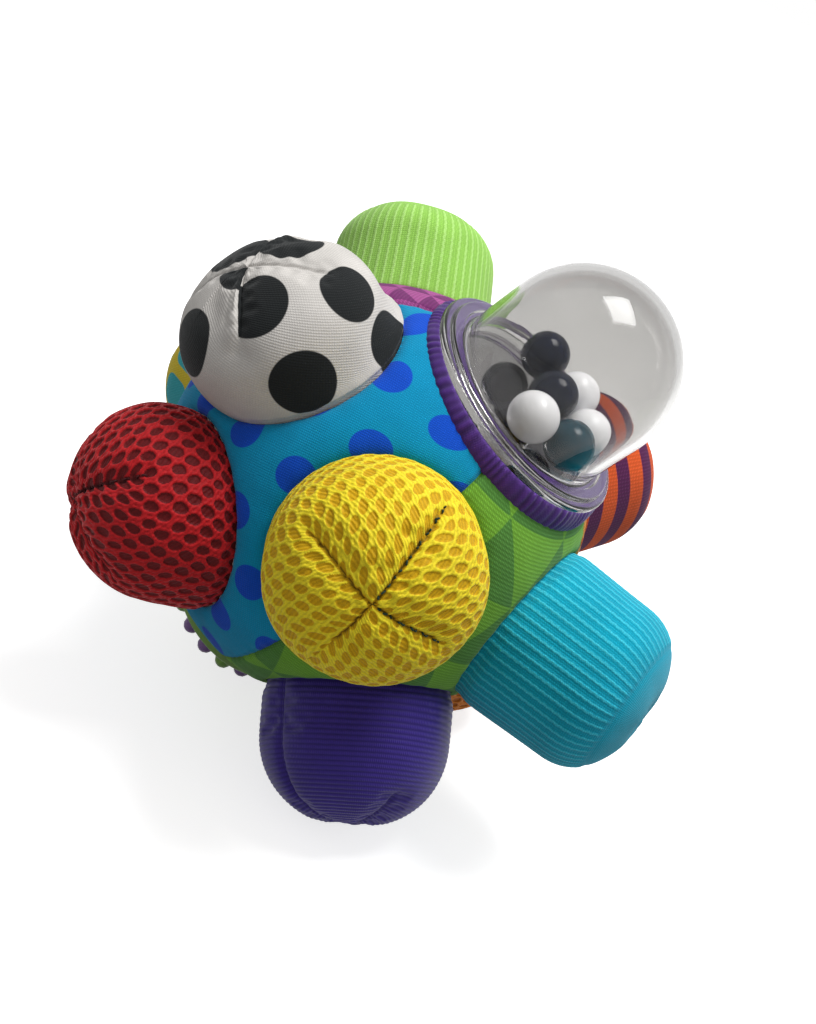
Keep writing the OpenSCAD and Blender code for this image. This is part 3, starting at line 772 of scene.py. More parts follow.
grid = knob_grid("spotted", KNIT_ROWS, KNIT_COLUMNS)
nearest = np.full(grid["left"].shape, FAR)
for shift in (0, 0.5):
    x = np.abs((grid["across"] / SPOT_PITCH + shift) % 1 - 0.5) * SPOT_PITCH
    y = np.abs((grid["along"] / (2 * SPOT_PITCH) + shift) % 1 - 0.5) * 2 * SPOT_PITCH
    corner_x = np.maximum(x - SPOT_HALF + SPOT_CORNER, 0)
    corner_y = np.maximum(y - SPOT_HALF + SPOT_CORNER, 0)
    nearest = np.minimum(nearest, np.hypot(corner_x, corner_y) - SPOT_CORNER)
# Polyester interlock knit: smooth and matt
spotted_knit = cloth_material("spotted_knit", "#e6cf3c", "#3fb4bd", yarn=(0.6, 0.6), turn=45)
# Painted shade along the creases of the darts
dress_knob("spotted", grid, sewing(grid, 17), spotted_knit,
           {"print_mm": nearest, "relief_shade": 1 - 0.5 * crease(grid, 0.4)})
print("stripe period", STRIPE_PERIOD, "spot pitch", SPOT_PITCH)

# %% [markdown]
# The skin is a sphere whose middle lies off the crossing, with a round hole under every knob.
# Points just inside a hole's edge move out onto it, so the edge is a clean circle, and the cloth is gathered
# round it.

# %% Skin with holes
HOLE_INSET = 0.3
GATHER, GATHERS_ROUND, GATHER_LENGTH = 0.07, 24, 3.5


def directions(polar, azimuth):
    """Unit vectors at polar angles from +Z and at azimuths about it."""
    polar, azimuth = np.broadcast_arrays(polar, azimuth)
    return np.stack([np.sin(polar) * np.cos(azimuth), np.sin(polar) * np.sin(azimuth), np.cos(polar)], -1)


def skin_reach(way):
    """Distance from the crossing to the skin along unit directions: a line meets a sphere off its start."""
    towards = way @ BALL_MIDDLE
    return towards + np.sqrt(towards ** 2 - BALL_MIDDLE @ BALL_MIDDLE + BALL_R ** 2)


def cut_holes(points, edge_room):
    """Moves points just inside a hole out to its edge: the points, which are cut, their room, the gathers."""
    gathers = np.zeros(points.shape[:2])
    room = np.full(gathers.shape, FAR)
    gone = np.zeros(gathers.shape, bool)
    for azimuth, polar, shape, *_ in KNOBS.values():
        turn = aim(azimuth, polar)
        local = points @ turn
        hole = shape[0] - HOLE_INSET
        from_axis = np.hypot(local[..., 0], local[..., 1])
        out = np.where(local[..., 2] > 0, from_axis - hole, FAR)
        gone |= out < -edge_room
        x, y = local[..., 0] * hole / from_axis, local[..., 1] * hole / from_axis
        on_edge = np.stack([x, y, skin_height(x, y, BALL_MIDDLE @ turn)], 2) @ turn.T
        points = np.where(((out < 0) & (out > -edge_room))[..., None], on_edge, points)
        out = np.maximum(out, 0)
        gathers += GATHER * np.cos(GATHERS_ROUND * np.arctan2(y, x)) * np.exp(-out / GATHER_LENGTH)
        room = np.minimum(room, out)
    return points, gone, room, gathers


print("at the dome the skin lies", round(skin_reach(np.array([0, 0, 1])), 1), "mm over the crossing")

# %% [markdown]
# Four panels of cloth, from the dome to the teether, make the skin.
# Each dips at its seams and round the knobs and swells between them, as stuffed cloth does.

# %% Panels of the skin
COLLAR_EDGE, TEETHER_EDGE = 26.9, 18.9
# Points in a hole, within this many cells of its edge, move onto the edge
PANEL_ROWS, PANEL_COLUMNS, EDGE_CELLS = 232, 176, 1.5
# Millimetres that seams and filling move the skin, and the lengths over which they do
SKIN_SWELL, SKIN_SWELL_LENGTH, KNOB_DIP, KNOB_DIP_LENGTH = 0.5, 5, 0.9, 0.9
SEAM_DIP, SEAM_DIP_WIDTH = 0.6, 0.6
SEAM_PUCKER, SEAM_PUCKER_PITCH, SEAM_PUCKER_LENGTH = 0.08, 3.3, 2.2
# Prints were laid out on a ball of this radius, before it was stuffed
PRINT_R = 51


def panel(name, from_azimuth, material, motif):
    """A quarter of the skin between the teether and the collar, raised by its seams, knobs and swelling."""
    azimuth = np.radians(from_azimuth + np.linspace(0, 90, PANEL_COLUMNS))
    heading = np.stack([np.cos(azimuth), np.sin(azimuth)])
    collar_z = skin_height(*(COLLAR_EDGE * heading), BALL_MIDDLE)
    teether_z = 2 * BALL_MIDDLE[2] - skin_height(*(TEETHER_EDGE * heading), BALL_MIDDLE)
    first, last = np.arctan2(TEETHER_EDGE, teether_z), np.arctan2(COLLAR_EDGE, collar_z)
    polar = first + (last - first) * np.linspace(0, 1, PANEL_ROWS)[:, None]
    way = directions(polar, azimuth)
    edge_room = EDGE_CELLS * BALL_R * (first - last).max() / (PANEL_ROWS - 1)
    points, gone, room, rise = cut_holes(way * skin_reach(way)[..., None], edge_room)
    turned_by = azimuth - np.radians(from_azimuth)
    side = BALL_R * np.sin(polar) * np.minimum(turned_by, np.pi / 2 - turned_by)
    rise += SKIN_SWELL * (1 - np.exp(-room / SKIN_SWELL_LENGTH)) - KNOB_DIP * np.exp(-room / KNOB_DIP_LENGTH)
    rise -= SEAM_DIP * np.exp(-(side / SEAM_DIP_WIDTH) ** 2)
    pucker = np.cos(2 * np.pi * BALL_R * polar / SEAM_PUCKER_PITCH)
    rise += SEAM_PUCKER * pucker * np.exp(-side / SEAM_PUCKER_LENGTH)
    points = points + (points - BALL_MIDDLE) / BALL_R * rise[..., None]
    across, along = PRINT_R * np.sin(polar) * (turned_by - np.pi / 4), PRINT_R * polar
    faces = grid_faces(PANEL_ROWS, PANEL_COLUMNS, False)
    faces = faces[~gone.ravel()[faces].any(1)]
    used, renumbered = np.unique(faces, return_inverse=True)
    threads = np.stack([across, along], 2).reshape(-1, 2)[faces.ravel()]
    # Painted shade along the seams, where the skin dips
    values = {"print_mm": motif(across, along).ravel()[used],
              "relief_shade": (1 - 0.5 * np.exp(-(side / 0.5) ** 2)).ravel()[used]}
    cloth = make_piece(name + "_panel", stand(points.reshape(-1, 3)[used]), renumbered.reshape(-1, 4), None,
                       threads, values)
    cloth.data.materials.append(material)
    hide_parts(name + "_gore")


print("a panel is", round(BALL_R * np.pi / 2), "mm wide at its widest")

# %% [markdown]
# One panel is printed with round dots and three with triangles, in two shades of one colour each.
# A print is a function of the millimetres across and along a panel, so it lies true on every panel.

# %% Prints of the panels
POLKA_R, POLKA_COLUMN, POLKA_PITCH, POLKA_STAGGER, POLKA_FROM = 3.95, 13.8, 15.3, 6.2, (-1.5, 36.3)
TRIANGLES_FROM, ROW_EDGE = 31.7, 0.05


def polka(across, along):
    """Signed distance to the nearest of round dots in columns, every second column staggered."""
    column = np.round((across - POLKA_FROM[0]) / POLKA_COLUMN)
    x = across - POLKA_FROM[0] - POLKA_COLUMN * column
    y = along - POLKA_FROM[1] + POLKA_STAGGER * (column % 2)
    y = (y + POLKA_PITCH / 2) % POLKA_PITCH - POLKA_PITCH / 2
    return np.hypot(x, y) - POLKA_R


def triangles(base, tall, x_corner):
    """A motif of rows of triangles, each row moved by half a base: signed distance to a triangle's edge."""
    def motif(across, along):
        rows_down = (along - TRIANGLES_FROM) / tall
        row = np.floor(rows_down)
        down = rows_down - row
        x = np.abs((across - x_corner + base / 2 * (row % 2) + base / 2) % base - base / 2)
        side = (x - down * base / 2) * tall / np.hypot(tall, base / 2)
        outside = np.minimum(side, down * tall + ROW_EDGE)
        return np.where(side < 0, np.maximum(side, (down - 1) * tall), outside)
    return motif


# Polyester satin twill, sublimation printed: thin, smooth and fairly bright
blue_print = cloth_material("blue_dot_print", "#0094c2", "#0a50cc", turn=40, depth=0.15)
green_print = cloth_material("green_triangle_print", "#7ab83c", "#57913f", yarn=(0.45, 0.83), depth=0.3,
                             valley_shade=0.5)
orange_print = cloth_material("orange_triangle_print", "#ef9a3a", "#d5641f", yarn=(0.45, 0.83), depth=0.3)
magenta_print = cloth_material("magenta_triangle_print", "#b0559a", "#7d2f72", yarn=(0.45, 0.83), depth=0.3)
panel("blue_dot", -90, blue_print, polka)
panel("green_triangle", 0, green_print, triangles(19.5, 16.5, -12.1))
panel("orange_triangle", 90, orange_print, triangles(9.5, 8.2, 0))
panel("magenta_triangle", 180, magenta_print, triangles(7.5, 7.0, 0))
print("panels of", PANEL_ROWS, "by", PANEL_COLUMNS, "points")

# %% [markdown]
# Many pieces are closed forms: rings of points between two poles, like the lines of latitude on a globe.
# One function makes such a piece: quads between the rings, and a fan of triangles at each pole.

# %% Closed forms
def globe(name, rings, low_pole, high_pole, body="ball"):
    """A closed piece from rings of world points between two poles, each pole with a fan of triangles."""
    rows, columns = rings.shape[:2]
    return make_piece(name, np.concatenate([rings.reshape(-1, 3), [low_pole, high_pole]]),
                      grid_faces(rows, columns, True), pole_fans(rows, columns), body=body)


def pole_fans(rows, columns):
    """Triangles from the first ring to a pole that follows all rings, and from the last to the next pole."""
    first = np.arange(columns)
    low = np.column_stack([np.roll(first, -1), first, np.full(columns, rows * columns)])
    return np.concatenate([low, tip_fan(rows, columns) + [0, 0, 1]])


print("a form with rings of 6 points has", len(pole_fans(3, 6)), "triangles at its poles")

# %% [markdown]
# Under the cloth lie wads of polyester fibre, lumpy forms just inside their covers, because that is what
# comes out when the toy is opened.

# %% Fibre wads
# Tangles of fibre per millimetre
TANGLE_PER_MM = 0.9
# Wads lie this far inside the cloth of a knob, and reach this far into the ball
WAD_INSET, WAD_OVERLAP = 1.9, 0.4
WAD_R, WAD_TOP, BALL_LUMP, LUMP_SINK = 46.8, 44.0, 0.25, 0.3


def fibre_material():
    """Polyester fibre: white, very rough, with a fine tangle in colour and bump."""
    material, tree, out = new_material("polyester_fibre")
    place = add(tree, "ShaderNodeTexCoord")
    tangle = add(tree, "ShaderNodeTexNoise", {}, {
        "Vector": place.outputs["Object"], "Scale": TANGLE_PER_MM / MM, "Detail": 5.0, "Roughness": 0.75,
        "Distortion": 1.5})
    colour = add(tree, "ShaderNodeMix", {"data_type": "RGBA"},
                 {"Factor": tangle.outputs["Fac"], "A": linear("#cfcdc6"), "B": linear("#f2f1ec")})
    bump = add(tree, "ShaderNodeBump", {},
               {"Height": tangle.outputs["Fac"], "Strength": 0.8, "Distance": 0.6 * MM})
    shader = add(tree, "ShaderNodeBsdfPrincipled", {}, {
        "Base Color": colour.outputs["Result"], "Roughness": 0.95, "IOR": 1.5, "Specular IOR Level": 0.1,
        "Sheen Weight": 0.4, "Normal": bump})
    tree.links.new(shader.outputs[0], out.inputs["Surface"])
    return material


def wad(name, rings, low_pole, high_pole, node):
    """A wad of fibre in place of a solid, from rings and poles in the ball's frame."""
    piece = globe(name, stand(rings), stand(low_pole), stand(high_pole))
    piece.data.materials.append(fibre)
    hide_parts(node)


fibre = fibre_material()
for knob, (azimuth, polar, *_) in KNOBS.items():
    turn = aim(azimuth, polar)
    middle = BALL_MIDDLE @ turn
    points = cups[knob][0]
    points = points - WAD_INSET * ring_normals(points)
    angle, height = np.arctan2(points[..., 1], points[..., 0]), points[..., 2]
    lump = 1 + 0.012 * np.sin(5 * angle + height / 3) + 0.01 * np.cos(3 * angle - height / 2)
    rings = points[1:-1] * lump[1:-1, :, None] ** np.array([1, 1, 0])
    floor = skin_height(rings[..., 0], rings[..., 1], middle) - WAD_OVERLAP
    rings[..., 2] = np.maximum(rings[..., 2], floor)
    low_pole = np.array([0, 0, skin_height(0, 0, middle) - WAD_OVERLAP])
    high_pole = np.array([*rings[-1, :, :2].mean(0), rings[-1, :, 2].max()])
    wad(knob + "_wad", rings @ turn.T, turn @ low_pole, turn @ high_pole, knob + "_knob_filling")

polar = np.radians(np.linspace(177, 3, 90))[:, None]
azimuth = np.radians(np.arange(0, 360, 3))[None, :]
lump = BALL_LUMP * np.sin(7 * azimuth + 5 * polar) * np.sin(9 * polar) - LUMP_SINK
under_plate = WAD_TOP - BALL_MIDDLE[2]
inside = np.minimum(WAD_R + lump, under_plate / np.maximum(np.cos(polar), 0.2) + 0 * azimuth)
rings = BALL_MIDDLE + directions(polar, azimuth) * inside[..., None]
low_pole, high_pole = BALL_MIDDLE - [0, 0, WAD_R], BALL_MIDDLE + [0, 0, under_plate]
wad("ball_wad", rings, low_pole, high_pole, "ball_filling")
print("wads", len(KNOBS) + 1)

# %% [markdown]
# The rattle is a clear dome moulded in one piece with its stepped flange.
# Its section is a line of straight runs and round corners from pole to pole, turned about the axis.
# Corners that look sharp still have a small radius, since that is where moulded plastic catches the light.

# %% Turned forms
def rounded(corners, steps=6):
    """Points along a line through corners given as radius, height and corner radius, with tangent arcs."""
    place, fillet = np.array(corners)[:, :2], np.array(corners)[1:-1, 2]
    to_last, to_next = place[:-2] - place[1:-1], place[2:] - place[1:-1]
    to_last /= np.linalg.norm(to_last, axis=1, keepdims=True)
    to_next /= np.linalg.norm(to_next, axis=1, keepdims=True)
    half = np.arccos((to_last * to_next).sum(1)) / 2
    reach = (fillet / np.tan(half))[:, None]
    t = np.linspace(0, 1, steps)[None, :, None]
    begin, finish = (place[1:-1] + reach * to_last)[:, None], (place[1:-1] + reach * to_next)[:, None]
    middle = ((to_last + to_next) / (2 * np.cos(half)[:, None]))[:, None]
    centre = place[1:-1, None] + middle * (fillet / np.sin(half))[:, None, None]
    spread = begin * (1 - t) + finish * t - centre
    arcs = centre + spread / np.linalg.norm(spread, axis=2, keepdims=True) * fillet[:, None, None]
    return np.concatenate([place[:1], arcs.reshape(-1, 2), place[-1:]])


def turned(name, section, columns):
    """A section of radius and height from pole to pole, turned about the dome's axis into a closed form."""
    angle = np.arange(columns) * 2 * np.pi / columns
    r, z = section[1:-1, :1], section[1:-1, 1:]
    rings = np.stack([r * np.cos(angle), r * np.sin(angle), z + 0 * angle], 2)
    low_pole, high_pole = (np.array([0, 0, end[1]]) for end in (section[0], section[-1]))
    return globe(name, stand(rings), stand(low_pole), stand(high_pole))


def arc_section(centre_z, r, from_degrees, to_degrees, steps):
    """Radius and height along an arc about a point on the axis."""
    a = np.radians(np.linspace(from_degrees, to_degrees, steps))
    return np.column_stack([r * np.cos(a), centre_z + r * np.sin(a)])


step = rounded([(2, 0, 0), (2, 1, 0.2), (1, 1, 0.2), (1, 2, 0)])
print("a step with two round corners has", len(step), "points")

# %% [markdown]
# Clear polystyrene is hard, bright and very slightly grey where it is looked at edgewise.
# It casts no shadow here: real light goes through the dome onto the beads, and this lets it do so.

# %% Clear dome
PLATE_Z, PLATE_T, PLATE_R = 44.6, 2.0, 24.5
CHAMBER_R, DOME_R, DOME_Z = 19.2, 20.7, 61.6
FLANGE_Z, FLANGE_R, FLANGE_T, FLANGE_RING = 46.75, 26.3, 1.6, 1.0
DOME_COLUMNS, DOME_STEPS = 224, 40
SCUFFS_PER_MM = 0.16


def clear_material():
    """Polystyrene, polished: clear, a faint grey in its depth and a few soft scuffs in its gloss."""
    material, tree, out = new_material("clear_polystyrene")
    place = add(tree, "ShaderNodeTexCoord")
    scuff = add(tree, "ShaderNodeTexNoise", {},
                {"Vector": place.outputs["Object"], "Scale": SCUFFS_PER_MM / MM, "Detail": 4.0})
    gloss = add(tree, "ShaderNodeMapRange", {}, {
        "Value": scuff.outputs["Fac"], "From Min": 0.45, "From Max": 0.75, "To Min": 0.015, "To Max": 0.06})
    shader = add(tree, "ShaderNodeBsdfPrincipled", {}, {
        "Base Color": linear("#c9c8c6"), "Roughness": gloss, "IOR": 1.45,
        "Specular Tint": (0.4, 0.4, 0.4, 1.0), "Transmission Weight": 1.0})
    tree.links.new(shader.outputs[0], out.inputs["Surface"])
    return material


ring_z = FLANGE_Z + FLANGE_T + FLANGE_RING
flange_top = FLANGE_Z + FLANGE_T
foot = rounded([(CHAMBER_R, DOME_Z - 1, 0), (CHAMBER_R, FLANGE_Z, 0.3), (FLANGE_R, FLANGE_Z, 0.3),
                (FLANGE_R, flange_top, 0.7), (PLATE_R, flange_top, 0.35), (PLATE_R, ring_z, 0.45),
                (DOME_R + 1.4, ring_z, 0.3), (DOME_R + 1.1, ring_z - 0.5, 0.2), (DOME_R, ring_z - 0.5, 0.5),
                (DOME_R, DOME_Z - 1, 0)])
inside = arc_section(DOME_Z, CHAMBER_R, 90, 0, DOME_STEPS)
outside = arc_section(DOME_Z, DOME_R, 0, 90, DOME_STEPS)
dome_section = np.concatenate([inside, foot, outside])
dome = turned("clear_dome", dome_section, DOME_COLUMNS)
dome.data.materials.append(clear_material())
dome.visible_shadow = False
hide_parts("rattle_dome")
print("dome section", len(dome_section), "points")

# %% [markdown]
# The back plate is pale glossy plastic, bright enough to mirror the beads.
# It has a shallow dish, so the beads roll to the edge, and a small raised rim that seats the dome.

# %% Back plate
PLATE_COLUMNS = 160
# Flow marks of the moulding per millimetre
FLOW_PER_MM = 0.22


def gloss_material(name, colour, rough, mottle=0.04, metallic=0.0, specular=0.5):
    """Moulded plastic, polished: one colour with a faint mottle, and gloss that varies a little."""
    material, tree, out = new_material(name)
    place = add(tree, "ShaderNodeTexCoord")
    flow = add(tree, "ShaderNodeTexNoise", {},
               {"Vector": place.outputs["Object"], "Scale": FLOW_PER_MM / MM, "Detail": 3.0})
    shades = [(flow.outputs["Fac"], NOISE_SPAN, 1 - mottle, 1 + mottle)]
    gloss = add(tree, "ShaderNodeMapRange", {}, {
        "Value": flow.outputs["Fac"], "From Min": NOISE_SPAN[0], "From Max": NOISE_SPAN[1],
        "To Min": rough * 0.8, "To Max": rough * 1.25})
    shader = add(tree, "ShaderNodeBsdfPrincipled", {}, {
        "Base Color": shaded_by(tree, linear(colour)[:3], shades), "Roughness": gloss, "IOR": 1.5,
        "Specular IOR Level": specular, "Metallic": metallic})
    tree.links.new(shader.outputs[0], out.inputs["Surface"])
    return material


top = PLATE_Z + PLATE_T
plate_section = rounded([(0, PLATE_Z, 0), (PLATE_R, PLATE_Z, 0.5), (PLATE_R, top, 0.5),
                         (PLATE_R - 3, top, 0.2), (PLATE_R - 4.6, top - 0.15, 0.2), (0, top - 0.05, 0)])
plate = turned("back_plate", plate_section, PLATE_COLUMNS)
# Polystyrene with a mirror film under its gloss
plate.data.materials.append(gloss_material("pale_plate_polystyrene", "#bdbcbe", 0.035, metallic=0.92))
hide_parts("rattle_plate")
print("plate is", 2 * PLATE_R, "mm across")

# %% [markdown]
# A strip of purple satin is gathered under the flange and sewn to the skin.
# Its section runs from under the flange, out past its edge and down to the ball. The gathers are many fine
# waves of uneven width, and they flatten towards the seam. Cut flat, the strip is a long narrow rectangle.

# %% Gathered collar
COLLAR_IN, COLLAR_BEND, COLLAR_OUT, COLLAR_Z, BEND_AT = 20.9, 25.6, 27.4, 46.66, 0.45
GATHERS, GATHER_HEIGHT = 88, 0.16
COLLAR_LENGTH, COLLAR_WIDTH = 0.185, 0.01
COLLAR_ROWS, COLLAR_COLUMNS = 36, 1320
t = np.linspace(0, 1, COLLAR_ROWS)[:, None]
angle = np.arange(COLLAR_COLUMNS) * 2 * np.pi / COLLAR_COLUMNS
down = np.clip((t - BEND_AT) / (1 - BEND_AT), 0, 1)
uneven = 2.2 * np.sin(5 * angle) + 1.6 * np.sin(13 * angle) + 1.2 * t * np.sin(9 * angle)
wave = np.cos(GATHERS * angle + uneven) * (0.65 + 0.35 * np.sin(17 * angle + 1))
ease = smoothstep(0.3, 0.6, t) * (1 - 0.6 * smoothstep(0.85, 1, t))
puff = ease * (0.15 + GATHER_HEIGHT * wave)
radius = np.where(t < BEND_AT, COLLAR_IN + (COLLAR_BEND - COLLAR_IN) * t / BEND_AT,
                  COLLAR_BEND + (COLLAR_OUT - COLLAR_BEND) * np.sin(down * np.pi / 2)) + puff
seam_z = skin_height(COLLAR_OUT * np.cos(angle), COLLAR_OUT * np.sin(angle), BALL_MIDDLE)
points = np.stack([radius * np.cos(angle), radius * np.sin(angle),
                   COLLAR_Z - (COLLAR_Z - seam_z) * down ** 1.35 + 0.5 * puff * (t > BEND_AT)], 2)
strip = np.stack([COLLAR_OUT * angle + 0 * t, COLLAR_WIDTH / MM * t + 0 * angle], 2)
faces = grid_faces(COLLAR_ROWS, COLLAR_COLUMNS, True)[:, ::-1]
# Painted shade in the troughs of the gathers, paler on their crests
collar = make_piece("satin_collar", stand(points.reshape(-1, 3)), faces, None,
                    strip.reshape(-1, 2)[faces.ravel()], {"relief_shade": (0.5 + 0.5 * wave * ease).ravel()})
# Polyester satin: long floats over the warp give a soft shine
satin = cloth_material("purple_satin", "#553088", yarn=(0.35, 0.35), turn=45, depth=0.1, rough=0.45,
                       valley_shade=0.4)
collar.data.materials.append(satin)
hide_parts("rattle_collar")
print("gathers", GATHERS)

# %% [markdown]
# Six loose beads lie on the plate. A bead is injection moulded, so it has a faint parting line round its
# middle and a tiny gate mark at one pole. Each rides on its own body, because each can be tossed about.

# %% Beads
# piece: node and body, slot, colour, tilt of the parting line in degrees
BEADS = {
    "left_white": ("white_bead_left", "white_bead_plastic", "#e9e9ec", 20),
    "right_white": ("white_bead_right", "white_bead_plastic", "#e9e9ec", 65),
    "back_white": ("white_bead_back", "white_bead_plastic", "#e9e9ec", 110),
    "back_navy": ("navy_bead_back", "navy_bead_plastic", "#10172a", 35),
    "middle_navy": ("navy_bead_middle", "navy_bead_plastic", "#10172a", 140),
    "dark_teal": ("teal_bead", "teal_bead_plastic", "#083542", 80),
}
BEAD_ROWS, BEAD_COLUMNS = 60, 96
# Shares of a bead's radius: height of the parting line, depth of the gate's dent, its floor
PARTING_RIDGE, GATE_DENT, GATE_FLOOR = 0.006, 0.02, 0.985
polar = np.radians(np.linspace(3, 177, BEAD_ROWS))[:, None]
round_it = np.arange(BEAD_COLUMNS) * 2 * np.pi / BEAD_COLUMNS
ridge = PARTING_RIDGE * np.exp(-((polar - np.pi / 2) / 0.02) ** 2)
uneven = 1 + ridge - GATE_DENT * np.exp(-(polar / 0.08) ** 2)
bead_rings = uneven[..., None] * directions(np.pi - polar, round_it)
bead_finish = {}
for name, (node, slot, colour, tilt) in BEADS.items():
    corner_low, corner_high = (np.array(corner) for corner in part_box(node))
    middle, bead_r = (corner_low + corner_high) / 2, (corner_high - corner_low).max() / 2
    lean = bead_r * about_z(2 * tilt) @ about_y(tilt)
    low_pole, high_pole = middle - GATE_FLOOR * lean[:, 2], middle + lean[:, 2]
    bead = globe(name + "_bead", bead_rings @ lean.T + middle, low_pole, high_pole, node)
    if slot not in bead_finish:
        # Polystyrene, tumbled: hard and glossy
        finish = slot.replace("_plastic", "_polystyrene")
        bead_finish[slot] = gloss_material(finish, colour, 0.14, mottle=0.03, specular=0.3)
    bead.data.materials.append(bead_finish[slot])
    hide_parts(node)
print("beads", len(BEADS), "radius in mm", round(bead_r / MM, 2))

# %% [markdown]
# At the pole opposite the dome sits a teether: a rubber pad with ball-shaped nubs to chew on.
# The pad is turned like the dome, with a bulging crown outside and a dish inside that fits the ball. Silicone
# is soft to look at, because a little light sinks into it.

# %% Teether pad
TEETHER_R, CAP_R, DISH_R = 19.5, 53.6, 47.4
CROWN_INSET, DISH_INSET = 1.6, 0.6
CROWN_STEPS, DISH_STEPS, TEETHER_COLUMNS = 24, 16, 120
# Grains of the rubber per millimetre, drawn coarser than they are so that they show
GRAIN_PER_MM = 0.7


def rubber_material(name, colour):
    """Silicone rubber: soft sheen, light sinking a little into it, and a fine dull grain."""
    material, tree, out = new_material(name)
    place = add(tree, "ShaderNodeTexCoord")
    grain = add(tree, "ShaderNodeTexNoise", {},
                {"Vector": place.outputs["Object"], "Scale": GRAIN_PER_MM / MM, "Detail": 4.0})
    shaded = shaded_by(tree, linear(colour)[:3], [(grain.outputs["Fac"], NOISE_SPAN, 0.9, 1.08)])
    bump = add(tree, "ShaderNodeBump", {},
               {"Height": grain.outputs["Fac"], "Strength": 0.2, "Distance": 0.2 * MM})
    shader = add(tree, "ShaderNodeBsdfPrincipled", {}, {
        "Base Color": shaded, "Roughness": 0.42, "IOR": 1.41, "Subsurface Weight": 0.15,
        "Subsurface Radius": (2 * MM, 1.5 * MM, 1 * MM), "Normal": bump})
    tree.links.new(shader.outputs[0], out.inputs["Surface"])
    return material


crown_half = np.degrees(np.arccos((TEETHER_R - CROWN_INSET) / CAP_R))
dish_half = np.degrees(np.arccos((TEETHER_R - DISH_INSET) / DISH_R))
crown = arc_section(BALL_MIDDLE[2], CAP_R, -90, -crown_half, CROWN_STEPS)
dish = arc_section(BALL_MIDDLE[2], DISH_R, -dish_half, -90, DISH_STEPS)
edge = rounded([(*crown[-1], 0), (TEETHER_R, crown[-1, 1] + 0.6, 0.8), (TEETHER_R, dish[0, 1] + 0.2, 0.3),
                (*dish[0], 0)])
teether = turned("rubber_teether", np.concatenate([crown[:-1], edge, dish[1:]]), TEETHER_COLUMNS)
green_rubber = rubber_material("green_silicone", "#6f9a3c")
teether.data.materials.append(green_rubber)
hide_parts("teether_cap")
print("teether is", 2 * TEETHER_R, "mm across")

# %% [markdown]
# The nubs lie in rings about the pole, green every third and purple between.
# They are many and small, so each is a ball of few faces, and all nubs of one colour are one piece.

# %% Teether nubs
NUB_R, NUB_CENTRE_R, NUB_PITCH, NUB_RINGS, GREEN_EVERY = 2.1, 54.5, 5.6, 3, 3
NUB_ROWS, NUB_COLUMNS = 7, 14


def many(name, points, rows, columns):
    """One piece from many small closed forms, each a row of its own ring points with its two poles last."""
    step = (np.arange(len(points)) * points.shape[1])[:, None, None]
    return make_piece(name, points.reshape(-1, 3), (grid_faces(rows, columns, True) + step).reshape(-1, 4),
                      (pole_fans(rows, columns) + step).reshape(-1, 3))


def nub_balls(green):
    """World points of every nub of one colour: balls of a few dozen faces, in rings about the pole."""
    ring = np.concatenate([np.full(max(6 * k, 1), k) for k in range(NUB_RINGS + 1)])
    number = np.concatenate([np.arange(max(6 * k, 1)) for k in range(NUB_RINGS + 1)])
    mine = (number % GREEN_EVERY == 0) == green
    ring, number = ring[mine], number[mine]
    polar = np.pi - ring * NUB_PITCH / NUB_CENTRE_R
    azimuth = np.radians(LEAN_AZIMUTH) + number * 2 * np.pi / np.maximum(6 * ring, 1)
    middle = NUB_CENTRE_R * directions(polar, azimuth) + [0, 0, BALL_MIDDLE[2]]
    down = np.linspace(np.pi, 0, NUB_ROWS + 2)[1:-1, None]
    ball = directions(down, np.arange(NUB_COLUMNS) * 2 * np.pi / NUB_COLUMNS)
    ball = NUB_R * np.concatenate([ball.reshape(-1, 3), [[0, 0, -1], [0, 0, 1]]])
    return stand(middle[:, None] + ball[None])


green_balls, purple_balls = nub_balls(True), nub_balls(False)
green_nubs = many("green_nubs", green_balls, NUB_ROWS, NUB_COLUMNS)
green_nubs.data.materials.append(green_rubber)
purple_nubs = many("purple_nubs", purple_balls, NUB_ROWS, NUB_COLUMNS)
purple_nubs.data.materials.append(rubber_material("purple_silicone", "#7d5a96"))
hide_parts("teether_purple_nubs")
print("nubs", len(green_balls) + len(purple_balls))

# %% [markdown]
# The darts of the mesh knobs are closed by small, uneven stitches that lie in the crease.
# Each is a little bow of thread that dives into the cloth at both ends. On the yellow knob a dark thread was
# used, and it shows most along two of the darts.

# %% Stitches on the mesh knobs
STITCH_LENGTH, STITCH_R, STITCH_RISE, STITCH_STEP = 1.25, 0.2, 0.4, 1.5
# The first stitch lies this far from the tip, and the last this far from the dart's end
STITCH_FROM, STITCH_TO = 1.6, 1
STITCH_ROWS, STITCH_COLUMNS = 5, 6
# knob: thread colour, the darts where it shows
THREADS = {"yellow_mesh": ("#22362a", (1, 2)), "red_mesh": ("#3a0c10", (2,)),
           "orange_mesh": ("#5a3010", (0, 2))}


